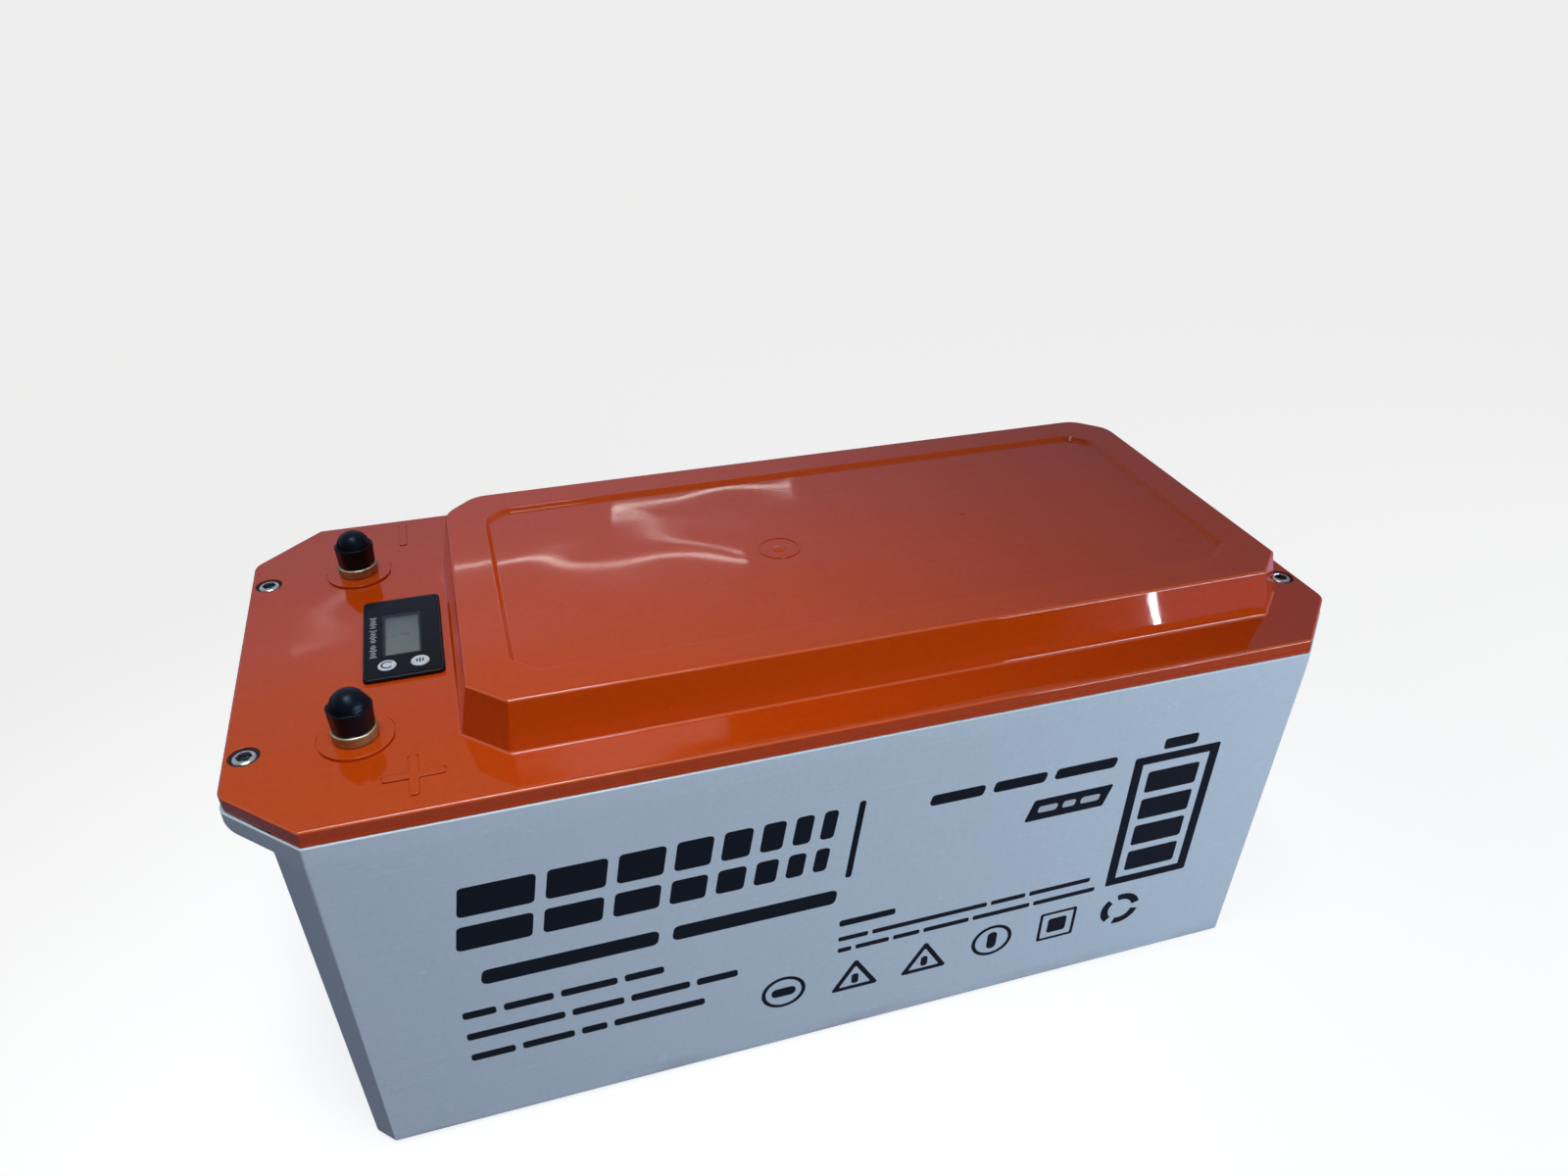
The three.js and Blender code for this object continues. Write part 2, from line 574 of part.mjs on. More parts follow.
// ---- protection board
const BMS_X = PACK_LEFT - STRAP.thickness - 3 * GAP;
const BMS_BOARD_X = BMS_X - BMS.sink - GAP;
const BMS_TAB_X = BMS_BOARD_X - BMS.board - BMS_TAB.height;

function heatSink() {
  const half = BMS.width / 2;
  const plate = block([-BMS.sink, 0], [-half, half], [0, BMS.height]);
  const slots = Array.from({ length: FIN_SLOT.count }, (_, i) => {
    const z = FIN_SLOT.first + i * FIN_SLOT.pitch;
    const depth = [-BMS.sink - SKIN, FIN_SLOT.depth - BMS.sink];
    return block(depth, [-half - SKIN, half + SKIN], [z, z + FIN_SLOT.height]);
  });
  return cut(plate, ...slots);
}

function protectionBoard() {
  const half = BMS.width / 2;
  const raised = (middle, width, height, levels) => {
    return block([-BMS.board - height, -BMS.board / 2], [middle - width / 2, middle + width / 2], levels);
  };
  const board = block([-BMS.board, 0], [-half, half], [0, BMS.height]);
  const chips = Array.from({ length: BMS_CHIP.count }, (_, i) => {
    const middle = (i - (BMS_CHIP.count - 1) / 2) * BMS_CHIP.pitch;
    return raised(middle, BMS_CHIP.width, BMS_CHIP.height, BMS_CHIP.levels);
  });
  const tabs = [-1, 1].map((side) => raised(side * BMS_TAB.y, BMS_TAB.width, BMS_TAB.height, BMS_TAB.levels));
  return join(board, ...chips, ...tabs);
}

function addProtectionBoard() {
  place('bms_heat_sink', heatSink(), MATERIALS.aluminium, BMS_X, 0, BMS.base);
  place('bms_circuit_board', protectionBoard(), MATERIALS.circuitGreen, BMS_BOARD_X, 0, BMS.base);
}

// ---- cables
const BARREL_DROP = LUG.thickness - LUG.barrelRadius;
const SEAL_BASE = FLANGE_UNDERSIDE - GAP - SEAL.thickness;
const LOCKNUT_BASE = SEAL_BASE - GAP - LOCKNUT.thickness;
const STUD_LUG_BASE = LOCKNUT_BASE - GAP - LUG.thickness;
const LUG_NUT_BASE = STUD_LUG_BASE - GAP - LOCKNUT.thickness;
const TAB_END_X = BMS_TAB_X - 2 * GAP;
const TAB_LEVEL = BMS.base + (BMS_TAB.levels[0] + BMS_TAB.levels[1]) / 2;

// A round cable or lead along a smooth path.
function cableAlong(points, radius, steps) {
  const vectors = points.map(([x, y, z]) => new THREE.Vector3(x, y, z));
  const path = new THREE.CatmullRomCurve3(vectors, false, 'centripetal');
  const circle = new THREE.EllipseCurve(0, 0, radius, radius).getPoints(CABLE_SIDES);
  const section = new THREE.Shape(circle.slice(0, CABLE_SIDES));
  return new THREE.ExtrudeGeometry(section, { steps, extrudePath: path });
}

// Flat ring lug with a tongue of the given length to a crimped barrel, towards +X (1) or -X (-1).
function ringLug({ x, y, z, towards, tongue, hole }) {
  const barrelStart = x + towards * tongue;
  const barrelMiddle = barrelStart + (towards * LUG.barrelLength) / 2;
  const top = z + LUG.thickness;
  const tongueEnds = [x, barrelStart + towards * SKIN].sort((a, b) => a - b);
  const eye = cylinder(LUG.radius, z, top, x, y);
  const plate = block(tongueEnds, [y - LUG.barrelRadius, y + LUG.barrelRadius], [z, top]);
  const { barrelRadius, barrelLength } = LUG;
  const barrel = new THREE.CylinderGeometry(barrelRadius, barrelRadius, barrelLength, SMALL_ROUND);
  barrel.rotateZ(Math.PI / 2).translate(barrelMiddle, y, top - barrelRadius);
  return cut(join(eye, plate, barrel), cylinder(hole, z - SKIN, top + SKIN, x, y));
}

function studLug(side) {
  const place = { x: TERMINAL.x, y: side * TERMINAL.y, z: STUD_LUG_BASE };
  return ringLug({ ...place, towards: 1, tongue: STUD_LUG_TONGUE, hole: STUD.radius + GAP });
}

// The middle of a stud lug's barrel, where its cable ends.
const studCableEnd = (side) => [
  TERMINAL.x + STUD_LUG_TONGUE + LUG.grip,
  side * TERMINAL.y,
  STUD_LUG_BASE + BARREL_DROP,
];

// From the first cell's positive post to the positive terminal's stud.
function positiveCable() {
  const post = { x: cellX(0), y: -CELL_POST.y, z: BUSBAR_BASE };
  const run = cableAlong([
    [post.x - PACK_LUG.tongue - LUG.grip, post.y, post.z + BARREL_DROP],
    [post.x - PACK_LUG.tongue - 3 * LUG.grip, post.y, post.z + BARREL_DROP - 1],
    [-130, -64, 192],
    [-154, -66.5, 183],
    studCableEnd(-1),
  ], CABLE_RADIUS, 16);
  return join(run, ringLug({ ...post, towards: -1, ...PACK_LUG }), studLug(-1));
}

// From the last cell's negative post, round the pack's end and along its side, to the protection board.
function packNegativeCable() {
  const post = { x: cellX(CELL_COUNT - 1), y: -CELL_POST.y, z: BUSBAR_BASE };
  const run = cableAlong([
    [post.x + PACK_LUG.tongue + LUG.grip, post.y, post.z + BARREL_DROP],
    [186, -63, 204],
    [197, -74, 190],
    [193, -92, 172],
    [172, -102, 162],
    [130, -103, 159],
    [30, -103, 157],
    [-55, -103, 156],
    [-84, -98, TAB_LEVEL],
    [-100, -82, TAB_LEVEL],
    [-102, -62, TAB_LEVEL],
    [-93, -BMS_TAB.y, TAB_LEVEL],
    [-88, -BMS_TAB.y, TAB_LEVEL],
    [TAB_END_X, -BMS_TAB.y, TAB_LEVEL],
  ], CABLE_RADIUS, 44);
  return join(run, ringLug({ ...post, towards: 1, ...PACK_LUG }));
}

// From the protection board's output tab to the negative terminal's stud.
function outputNegativeCable() {
  const run = cableAlong([
    [TAB_END_X, BMS_TAB.y, TAB_LEVEL],
    [-88, BMS_TAB.y, TAB_LEVEL],
    [-98, 51, 156],
    [-122, 58, 168],
    [-150, 66, 180],
    studCableEnd(1),
  ], CABLE_RADIUS, 16);
  return join(run, studLug(1));
}

function addCables() {
  const balanceLead = cableAlong([
    [-85.5, 0, 150], [-85.5, 0, 176], [-83, 0, 196], [-76, 0, 207], [-66, 0, 209.3], [-50, 0, 209.3],
    [50, 0, 209.3], [150, 0, 209.3],
  ], BALANCE_LEAD_RADIUS, 22);
  const meterLead = cableAlong([
    [METER.x, -5, 192], [METER.x, -8, 183], [-185, -25, 176], [-193, -45, 172], [-199, -64, 171],
  ], METER_LEAD_RADIUS, 12);
  place('positive_cable', positiveCable(), MATERIALS.cableRed);
  place('pack_negative_cable', packNegativeCable(), MATERIALS.cableBlack);
  place('output_negative_cable', outputNegativeCable(), MATERIALS.cableBlack);
  place('balance_lead', balanceLead, MATERIALS.cableBlack);
  place('meter_lead', meterLead, MATERIALS.cableRed);
}

// ---- packing foam and the board over the busbars
function addPacking() {
  const { side, inner, leftEnd, leftInner, rightEnd, packGap } = FOAM;
  const packEnds = [PACK_LEFT, PACK_RIGHT];
  const cellSides = [-CELL.width / 2, CELL.width / 2];
  const upTo = (top) => [FLOOR_LEVEL, top];
  const pieces = {
    floor_pad: block(packEnds, cellSides, upTo(FLOOR_LEVEL + FLOOR_PAD)),
    foam_block_left: block([leftEnd, leftInner], [-side, side], upTo(FOAM_TOPS.left)),
    foam_block_right: block([PACK_RIGHT + packGap, rightEnd], [-side, side], upTo(FOAM_TOPS.right)),
    foam_strip_front: block(packEnds, [-side, -inner], upTo(FOAM_TOPS.front)),
    foam_strip_back: block(packEnds, [inner, side], upTo(FOAM_TOPS.back)),
  };
  Object.entries(pieces).forEach(([name, shape]) => place(name, shape, MATERIALS.foamGrey));
  const boardBase = BUSBAR_BASE + LUG.thickness + GAP;
  const boardEnds = [PACK_LEFT + END_PLATE, PACK_RIGHT - END_PLATE];
  const boardSides = [-TOP_BOARD.halfWidth, TOP_BOARD.halfWidth];
  const board = block(boardEnds, boardSides, [boardBase, boardBase + TOP_BOARD.thickness]);
  place('top_insulation_board', board, MATERIALS.boardYellow);
}

function addLidScrews() {
  SCREW_PLACES.forEach(([x, y], i) => {
    place(`lid_screw_${i + 1}`, lidScrew(), MATERIALS.stainless, x, y, FLANGE_TOP - SCREW.headHeight);
    place(`screw_insert_${i + 1}`, screwInsert, MATERIALS.brass, x, y, CASE.rimTop - GAP);
  });
}

function addTerminal({ name, side }) {
  const put = (piece, shape, material, z) => {
    place(`${name}_${piece}`, shape, material, TERMINAL.x, side * TERMINAL.y, z);
  };
  const collarTop = PAD_TOP + TERMINAL.collarHeight + GAP;
  const washer = ringWasher(WASHER.radius, BOLT.shankRadius + GAP, WASHER.thickness);
  const seal = ringWasher(SEAL.radius, TERMINAL.neckRadius + GAP, SEAL.thickness);
  put('terminal', terminal(), MATERIALS.brass, PAD_TOP);
  put('terminal_washer', washer, MATERIALS.stainless, collarTop);
  put('terminal_bolt', terminalBolt, MATERIALS.stainless, collarTop + WASHER.thickness + GAP);
  put('terminal_cap', terminalCap(), MATERIALS.capBlack, collarTop);
  put('terminal_seal', seal, MATERIALS.gasketRubber, SEAL_BASE);
  put('terminal_locknut', locknut, MATERIALS.brass, LOCKNUT_BASE);
  put('lug_nut', locknut, MATERIALS.brass, LUG_NUT_BASE);
}

// ---- the assembly
place('case_body', caseBody(), MATERIALS.caseWhite);
place('lid', lid(), MATERIALS.lidOrange);
place('lid_gasket', gasketRing(0), MATERIALS.gasketRubber);
addLidScrews();
TERMINALS.forEach(addTerminal);
addMeter();
addCellPack();
addProtectionBoard();
addCables();
addPacking();

export default battery;
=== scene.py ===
"""Looks of a deep cycle lithium battery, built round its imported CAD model.

Shapes are drawn in millimetres in the CAD's frame and become metres when a mesh is made.
"""

import math
from types import SimpleNamespace as Sizes

import bpy
from mathutils import Matrix, Quaternion, Vector


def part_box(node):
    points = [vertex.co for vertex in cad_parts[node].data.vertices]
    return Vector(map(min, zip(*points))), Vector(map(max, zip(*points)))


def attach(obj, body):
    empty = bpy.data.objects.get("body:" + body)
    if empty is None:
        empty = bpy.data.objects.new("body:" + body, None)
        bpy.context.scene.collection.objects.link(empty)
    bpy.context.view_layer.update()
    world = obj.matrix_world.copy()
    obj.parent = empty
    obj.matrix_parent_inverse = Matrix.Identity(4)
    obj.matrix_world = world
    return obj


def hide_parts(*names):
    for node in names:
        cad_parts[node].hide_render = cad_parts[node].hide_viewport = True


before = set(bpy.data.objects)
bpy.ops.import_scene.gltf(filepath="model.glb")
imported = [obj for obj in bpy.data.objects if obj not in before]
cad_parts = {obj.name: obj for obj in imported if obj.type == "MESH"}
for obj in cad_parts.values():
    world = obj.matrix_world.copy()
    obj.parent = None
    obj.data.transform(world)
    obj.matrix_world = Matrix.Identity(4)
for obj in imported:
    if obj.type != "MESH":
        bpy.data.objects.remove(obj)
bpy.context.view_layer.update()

MM = 0.001


def extent(node):
    """Lowest and highest corner of a CAD node, in millimetres."""
    low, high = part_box(node)
    return low / MM, high / MM


def size_of(node):
    """A CAD node's sizes along X and Y, in millimetres."""
    low, high = extent(node)
    return high.x - low.x, high.y - low.y


def centre_of(node):
    """Middle of a CAD node in plan, in millimetres."""
    low, high = extent(node)
    return (low.x + high.x) / 2, (low.y + high.y) / 2


# ---- sizes, in millimetres
GAP = 0.3
OVERLAP = 1
CORNER_STEPS = 7
EDGE_STEPS = 5
TURN_STEPS = 48
MARK_STEPS = 72
FINE_STEPS = 96

LENGTH, WIDTH = size_of("case_body")
RIM_TOP = extent("case_body")[1].z
LID_TOP = extent("lid")[1].z

CASE = Sizes(ledge=19, wall=4, floor=4, draft=6.5, foot=4, rim=8.2, rim_round=3, top_round=0.7, fillet=1.5)
CORNER = Sizes(cut=30.5, end_radius=9, side_radius=2)
BODY_END_RADIUS = 4
BOSS = Sizes(radius=7, edge=0.6, drop=6, bore=4.3, floor=3)

LID = Sizes(flange=7, skin=3, setback=0.7, foot=0.3, edge=1.3, tongue=6, tongue_wall=2)
DOME = Sizes(
    left=-154, right=224.5, width=183.5, cut=13.5, draft=4.3,
    edge=1.5, fillet=1.4, fillet_share=0.8, radius=4, back_radius=19,
)
RECESS = Sizes(inset=18.75, depth=2, cut=10, radius=3, back_radius=9, edge=0.8, fillet=0.9)
GASKET = Sizes(outer=0.7, inner=3.9, depth=1.7)
COUNTERBORE = Sizes(radius=6.1, depth=3.3, shank=3.3, edge=0.3)
PAD = Sizes(radius=15.1, height=1, edge=0.16, groove=0.7, groove_depth=0.5)
SIGN = Sizes(length=24, width=3.6, height=0.4, radius=1.5, edge=0.12, groove=0.5, groove_depth=0.5)
MOULD_MARK = Sizes(place=(-1, -2), dish=12.4, depth=0.45, ring=10.3, ring_width=1.1, boss=2.6)
GATE_MARK = Sizes(place=(99, 5), radius=1.4, edge=0.3, height=0.4)

SCREW = Sizes(seat=3, shank=3, socket=5.5, socket_mouth=5.8, socket_end=2.6)
TERMINAL = Sizes(tail=6, neck=7, bore=4.3, bore_depth=13, edge=0.7)
BOLT = Sizes(flats=13, head=5.3, shank=4, washer_face=7.2)
CAP = Sizes(corner=5.5, wall=1.2, shoulder=10.2, hollow=7, lip=0.4, dome=7.65, dome_height=7.2)
METER = Sizes(body=(29, 58), wall=1.5, corner=2.4, edge=0.55, border=1.2, sill=0.25, film=1.55)

BODY_REACH = LENGTH / 2 - CASE.ledge
RIM_REACH = LENGTH / 2
FRONT_CORNER_X = RIM_REACH - CORNER.cut
RIM_BASE = RIM_TOP - CASE.rim
LID_BASE = RIM_TOP + GAP
FLANGE_TOP = LID_BASE + LID.flange
FLANGE_UNDERSIDE = FLANGE_TOP - LID.skin
PAD_TOP = FLANGE_TOP + PAD.height
RECESS_FLOOR = LID_TOP - RECESS.depth
DOME_CEILING = RECESS_FLOOR - LID.skin
DOME_MIDDLE = (DOME.left + DOME.right) / 2

SCREWS = [f"lid_screw_{i}" for i in range(1, 5)]
SCREW_TOP = extent(SCREWS[0])[1].z
POLES = ["positive", "negative"]
KEYS = ["meter_select_button", "meter_set_button"]


# ---- outlines in plan
def round_corner(before, corner, after, radius, steps):
    """Arc points that replace one corner of a counter-clockwise outline, convex or not."""
    to_before = (before - corner).normalized()
    to_after = (after - corner).normalized()
    half = to_before.angle(to_after) / 2
    centre = corner + (to_before + to_after).normalized() * radius / math.sin(half)
    arm = corner + to_before * radius / math.tan(half) - centre
    convex = (corner - before).cross(after - corner) > 0
    turn = (math.pi - 2 * half) * (1 if convex else -1)
    return [centre + Matrix.Rotation(turn * i / steps, 2) @ arm for i in range(steps + 1)]


def rounded(corners, radii, steps=CORNER_STEPS):
    """The outline through these corners, each rounded to its own radius."""
    points = [Vector(c) for c in corners]
    outline = []
    for i, corner in enumerate(points):
        after = points[(i + 1) % len(points)]
        outline += round_corner(points[i - 1], corner, after, radii[i], steps)
    return outline


def form(length, width, cut, end_radius, side_radius, x=0, back_radius=None):
    """An eight-sided outline with 45 degree corner cuts, softer at the back if it has a back radius."""
    front, back = (end_radius, side_radius), (back_radius or end_radius, back_radius or side_radius)
    return Sizes(length=length, width=width, cut=cut, front=front, back=back, x=x)


def octagon(shape, inset=0):
    """Points of an eight-sided form, moved inwards by inset."""
    x = shape.length / 2 - inset
    y = shape.width / 2 - inset
    cut = max(shape.cut - inset * (2 - math.sqrt(2)), 0.5)
    end, side = [max(radius - inset, 0.4) for radius in shape.front]
    back_end, back_side = [max(radius - inset, 0.4) for radius in shape.back]
    quarter = [(x - cut, -y), (x, -y + cut), (x, y - cut), (x - cut, y)]
    corners = quarter + [(-px, -py) for px, py in quarter]
    moved = [(px + shape.x, py) for px, py in corners]
    return rounded(moved, [side, end, back_end, back_side, back_side, back_end, end, side])


def rectangle(size_x, size_y, radius, x=0, y=0, steps=CORNER_STEPS):
    signs = [(-1, -1), (1, -1), (1, 1), (-1, 1)]
    corners = [(x + sx * size_x / 2, y + sy * size_y / 2) for sx, sy in signs]
    return rounded(corners, [radius] * 4, steps)


def panel(size, inset, radius, steps=CORNER_STEPS):
    """A rounded rectangle, moved inwards by inset, or outwards where that is negative."""
    return rectangle(size[0] - 2 * inset, size[1] - 2 * inset, radius, steps=steps)


def circle(radius, steps=TURN_STEPS):
    turns = [math.tau * (i + 0.5) / steps for i in range(steps)]
    return [Vector((radius * math.cos(a), radius * math.sin(a))) for a in turns]


def hexagon(flats, radius, steps=CORNER_STEPS, flat_steps=6):
    """Rounded hexagon, given across its flats, with points spread along each of them."""
    angles = [(i + 0.5) * math.pi / 3 for i in range(6)]
    reach = flats / math.sqrt(3)
    corners = [(reach * math.sin(-a), reach * math.cos(a)) for a in angles]
    turns = rounded(corners, [radius] * 6, steps)
    outline = []
    for i, point in enumerate(turns):
        outline.append(point)
        if (i + 1) % (steps + 1) == 0:
            after = turns[(i + 1) % len(turns)]
            outline += [point.lerp(after, j / flat_steps) for j in range(1, flat_steps)]
    return outline


def with_radius(points, radius):
    """The same directions from the middle, all at one radius."""
    return [p.normalized() * radius for p in points]


def within(points, radius):
    """The outline, held inside a circle."""
    return [p.normalized() * min(p.length, radius) for p in points]


def arc(u, v, radius, start, end, steps=EDGE_STEPS):
    """Points (u, v) on an arc round a centre, between two angles in degrees."""
    angles = [math.radians(start + (end - start) * i / steps) for i in range(steps + 1)]
    return [(u + radius * math.cos(a), v + radius * math.sin(a)) for a in angles]


# ---- meshes
def make_object(name, corners, faces):
    mesh = bpy.data.meshes.new(name)
    mesh.from_pydata([Vector(c) * MM for c in corners], [], faces)
    mesh.validate()
    piece = bpy.data.objects.new(name, mesh)
    bpy.context.scene.collection.objects.link(piece)
    return piece


def loft(name, sections, place=(0, 0)):
    """Joins outlines of equal point count, each at its own height, into one closed solid.

    The first end faces down and the last one up. The wall faces outwards where it rises.
    """
    ring = len(sections[0][0])
    corners = [(p.x + place[0], p.y + place[1], z) for outline, z in sections for p in outline]
    faces = [list(range(ring))[::-1]]
    for level in range(len(sections) - 1):
        start = level * ring
        for i in range(ring):
            a, b = start + i, start + (i + 1) % ring
            faces.append([a, b, b + ring, a + ring])
    last = (len(sections) - 1) * ring
    faces.append(list(range(last, last + ring)))
    return make_object(name, corners, faces)


def prism(name, outline, base, top, place=(0, 0)):
    return loft(name, [(outline, base), (outline, top)], place)


def turned(name, profile, place=(0, 0), steps=TURN_STEPS):
    """A turned piece from (radius, height) points, closed at both ends."""
    return loft(name, [(circle(radius, steps), z) for radius, z in profile], place)


def round_bar(radius, base, top, place, steps=TURN_STEPS):
    return prism("bar", circle(radius, steps), base, top, place)


def turned_ring(name, profile, place, steps=TURN_STEPS):
    """A turned piece whose (radius, height) profile closes on itself round a hole."""
    corners = [(p.x + place[0], p.y + place[1], z) for radius, z in profile for p in circle(radius, steps)]
    count = len(corners)
    faces = []
    for start in range(0, count, steps):
        for i in range(steps):
            a, b = start + i, start + (i + 1) % steps
            faces.append([a, b, (b + steps) % count, (a + steps) % count])
    return make_object(name, corners, faces)


def flat_ring(name, outer, inner, base, top, place):
    edge = 0.2
    profile = [
        (inner, base), (outer - edge, base), (outer, base + edge), (outer, top - edge),
        (outer - edge, top), (inner + edge, top), (inner, top - edge),
    ]
    return turned_ring(name, profile, place)


def ring_mark(radius, width, base, height, place):
    """A raised ring that is rooted in the surface below it."""
    inner, edge, root, top = radius - width, 0.2, base - 0.6, base + height
    profile = [
        (inner, root), (radius, root), (radius, top - edge),
        (radius - edge, top), (inner + edge, top), (inner, top - edge),
    ]
    return turned_ring("ring", profile, place, MARK_STEPS)


def moulding(shape, levels):
    """Sections of one eight-sided form from its (inset, height) levels."""
    return [(octagon(shape, inset), z) for inset, z in levels]


def round_sections(outline, profile):
    """Round sections from (radius, height) points, with as many points as an outline has."""
    return [(with_radius(outline, radius), z) for radius, z in profile]


def bake(piece):
    """Makes the modifiers' result the piece's own mesh."""
    graph = bpy.context.evaluated_depsgraph_get()
    mesh = bpy.data.meshes.new_from_object(piece.evaluated_get(graph))
    piece.modifiers.clear()
    piece.data = mesh


def merge(name, parts):
    """Joins separate objects into one mesh."""
    corners, faces = [], []
    for part in parts:
        start = len(corners)
        corners += [v.co / MM for v in part.data.vertices]
        faces += [[start + i for i in polygon.vertices] for polygon in part.data.polygons]
        bpy.data.objects.remove(part)
    return make_object(name, corners, faces)


def combine(piece, operation, tools):
    """Joins tools to a piece (UNION) or cuts them out of it (DIFFERENCE)."""
    tool = merge("tool", tools)
    modifier = piece.modifiers.new(operation, "BOOLEAN")
    modifier.operation = operation
    modifier.solver = "EXACT"
    modifier.object = tool
    bake(piece)
    bpy.data.objects.remove(tool)


def finish_piece(piece, material, body="root", replaces=(), sharp=32):
    """Shades a piece, gives it its material and ties it to the CAD."""
    piece.data.shade_smooth()
    piece.data.set_sharp_from_angle(angle=math.radians(sharp))
    weighted = piece.modifiers.new("flat faces stay flat", "WEIGHTED_NORMAL")
    weighted.keep_sharp = True
    piece.data.materials.clear()
    piece.data.materials.append(material)
    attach(piece, body)
    if replaces:
        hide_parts(*replaces)
    return piece


# ---- materials
def shade_of(colour, factor):
    return tuple(min(c * factor, 1) for c in colour[:3]) + (1,)


class Nodes:
    """Adds nodes to the node tree of a material or of the surroundings."""

    MIX_FIRST, MIX_SECOND, MIX_RESULT = 6, 7, 2

    def __init__(self, tree):
        self.tree = tree

    def feed(self, source, target):
        """Gives a socket a constant, or another node's output."""
        if isinstance(source, bpy.types.NodeSocket):
            self.tree.links.new(source, target)
        else:
            target.default_value = source

    def add(self, kind, inputs, **settings):
        """A new node, with its settings and what its inputs are fed."""
        node = self.tree.nodes.new("ShaderNode" + kind)
        for key, value in settings.items():
            setattr(node, key, value)
        for socket, source in inputs.items():
            self.feed(source, node.inputs[socket])
        return node

    def coordinate(self, vector, name):
        return self.add("SeparateXYZ", {"Vector": vector}).outputs[name]

    def remap(self, source, low, high, to_low=0, to_high=1, ramp="LINEAR"):
        """Carries one range over to another, and stays at its ends beyond them."""
        inputs = {"Value": source, "From Min": low, "From Max": high, "To Min": to_low, "To Max": to_high}
        return self.add("MapRange", inputs, interpolation_type=ramp).outputs["Result"]

    def blend(self, factor, first, second):
        """Mixes two colours, each a constant or another node's output."""
        inputs = {"Factor": factor, self.MIX_FIRST: first, self.MIX_SECOND: second}
        return self.add("Mix", inputs, data_type="RGBA").outputs[self.MIX_RESULT]


class Look(Nodes):
    """Builds one procedural material. Texture scales are per metre of the object."""

    def __init__(self, name, metallic=0.0, ior=1.5, coat=0.0):
        self.material = bpy.data.materials.new(name)
        self.material.use_nodes = True
        super().__init__(self.material.node_tree)
        self.shader = self.tree.nodes["Principled BSDF"]
        self.set("Metallic", metallic)
        self.set("IOR", ior)
        self.set("Coat Weight", coat)
        self.set("Coat Roughness", 0.05)
        self.place = self.add("TexCoord", {}).outputs["Object"]
        self.bump = None

    def set(self, socket, source):
        self.feed(source, self.shader.inputs[socket])

    def noise(self, scale, detail=3.0, stretch=(1, 1, 1), distortion=0.0):
        """Noise whose grain can be finer along one axis than along another."""
        place = self.add("Mapping", {"Vector": self.place, "Scale": stretch}).outputs["Vector"]
        inputs = {"Vector": place, "Scale": scale, "Detail": detail, "Distortion": distortion}
        return self.add("TexNoise", inputs).outputs["Fac"]

    def patches(self, scale, detail, low, high, most=1, stretch=(1, 1, 1)):
        """0 where the noise is below low, and most where it is above high."""
        return self.remap(self.noise(scale, detail, stretch), low, high, 0, most)

    def hairlines(self, scale, stretch):
        """1 along sparse fine scratches that run one way."""
        return self.patches(scale, 1, 0.7, 0.74, 1, stretch)

    def mottled(self, colour, low, high, scale):
        return self.blend(self.patches(scale, 3, 0.2, 0.8), shade_of(colour, low), shade_of(colour, high))

    def math(self, operation, first, second):
        """A sum or a product, held between 0 and 1."""
        inputs = {0: first, 1: second}
        return self.add("Math", inputs, operation=operation, use_clamp=True).outputs["Value"]

    def axis(self, name):
        """One coordinate of the object's own space, in metres."""
        return self.coordinate(self.place, name)

    def painted_highlight_edges(self):
        """1 on edges that face the front, rounded between a level face and an upright one; it masks the
        painted edge highlights.
        """
        normal = self.add("NewGeometry", {}).outputs["Normal"]
        upward = self.coordinate(normal, "Z")
        level_share = self.math("MULTIPLY", upward, upward)
        rise = self.remap(level_share, 0.12, 0.35)
        fall = self.remap(level_share, 0.75, 0.97, 1, 0)
        facing = self.remap(self.coordinate(normal, "Y"), -0.15, -0.35)
        return self.math("MULTIPLY", facing, self.math("MULTIPLY", rise, fall))

    def colour(self, source):
        self.set("Base Color", source)

    def roughness(self, source):
        self.set("Roughness", source)

    def gloss(self, scale, detail, low, high):
        """Roughness that wanders between two values."""
        self.roughness(self.remap(self.noise(scale, detail), 0.3, 0.7, low, high))

    def relief(self, source, height):
        """Adds a bump of this height in metres to those before it."""
        inputs = {"Strength": 1, "Distance": height, "Height": source}
        if self.bump is not None:
            inputs["Normal"] = self.bump
        self.bump = self.add("Bump", inputs).outputs["Normal"]
        self.set("Normal", self.bump)

    def grain(self, scale, detail, height):
        self.relief(self.noise(scale, detail), height)


def case_plastic():
    """Glossy white moulding, darker in patches near the floor, with a painted highlight on its front edges.
    """
    look = Look("case_white_abs", ior=1.48)
    base = look.mottled((0.73, 0.82, 0.87, 1), 0.965, 1.035, 420)
    base = look.blend(look.patches(520, 1, 0.76, 0.84, 0.25), base, (0.5, 0.54, 0.58, 1))
    # Darker in patches within 12 mm of the floor.
    near_floor = look.remap(look.axis("Z"), 0.0, 0.012, 1, 0)
    dark_patches_near_floor = look.math("MULTIPLY", near_floor, look.patches(90, 5, 0.42, 0.7, 0.6, (0.3, 0.3, 1)))
    base = look.blend(dark_patches_near_floor, base, (0.36, 0.38, 0.4, 1))
    # Painted highlight: front-facing rounded edges are blended towards near white.
    edges = look.math("MULTIPLY", look.painted_highlight_edges(), 0.8)
    look.colour(look.blend(edges, base, (0.94, 0.96, 0.98, 1)))
    gloss = look.remap(look.noise(60, 4), 0, 1, 0.22, 0.3)
    lines = look.hairlines(70, (0.25, 0.25, 9))
    look.roughness(look.math("ADD", gloss, look.math("MULTIPLY", lines, 0.05)))
    look.grain(5, 0, 0.0012)
    look.grain(900, 2, 0.00001)
    return look.material


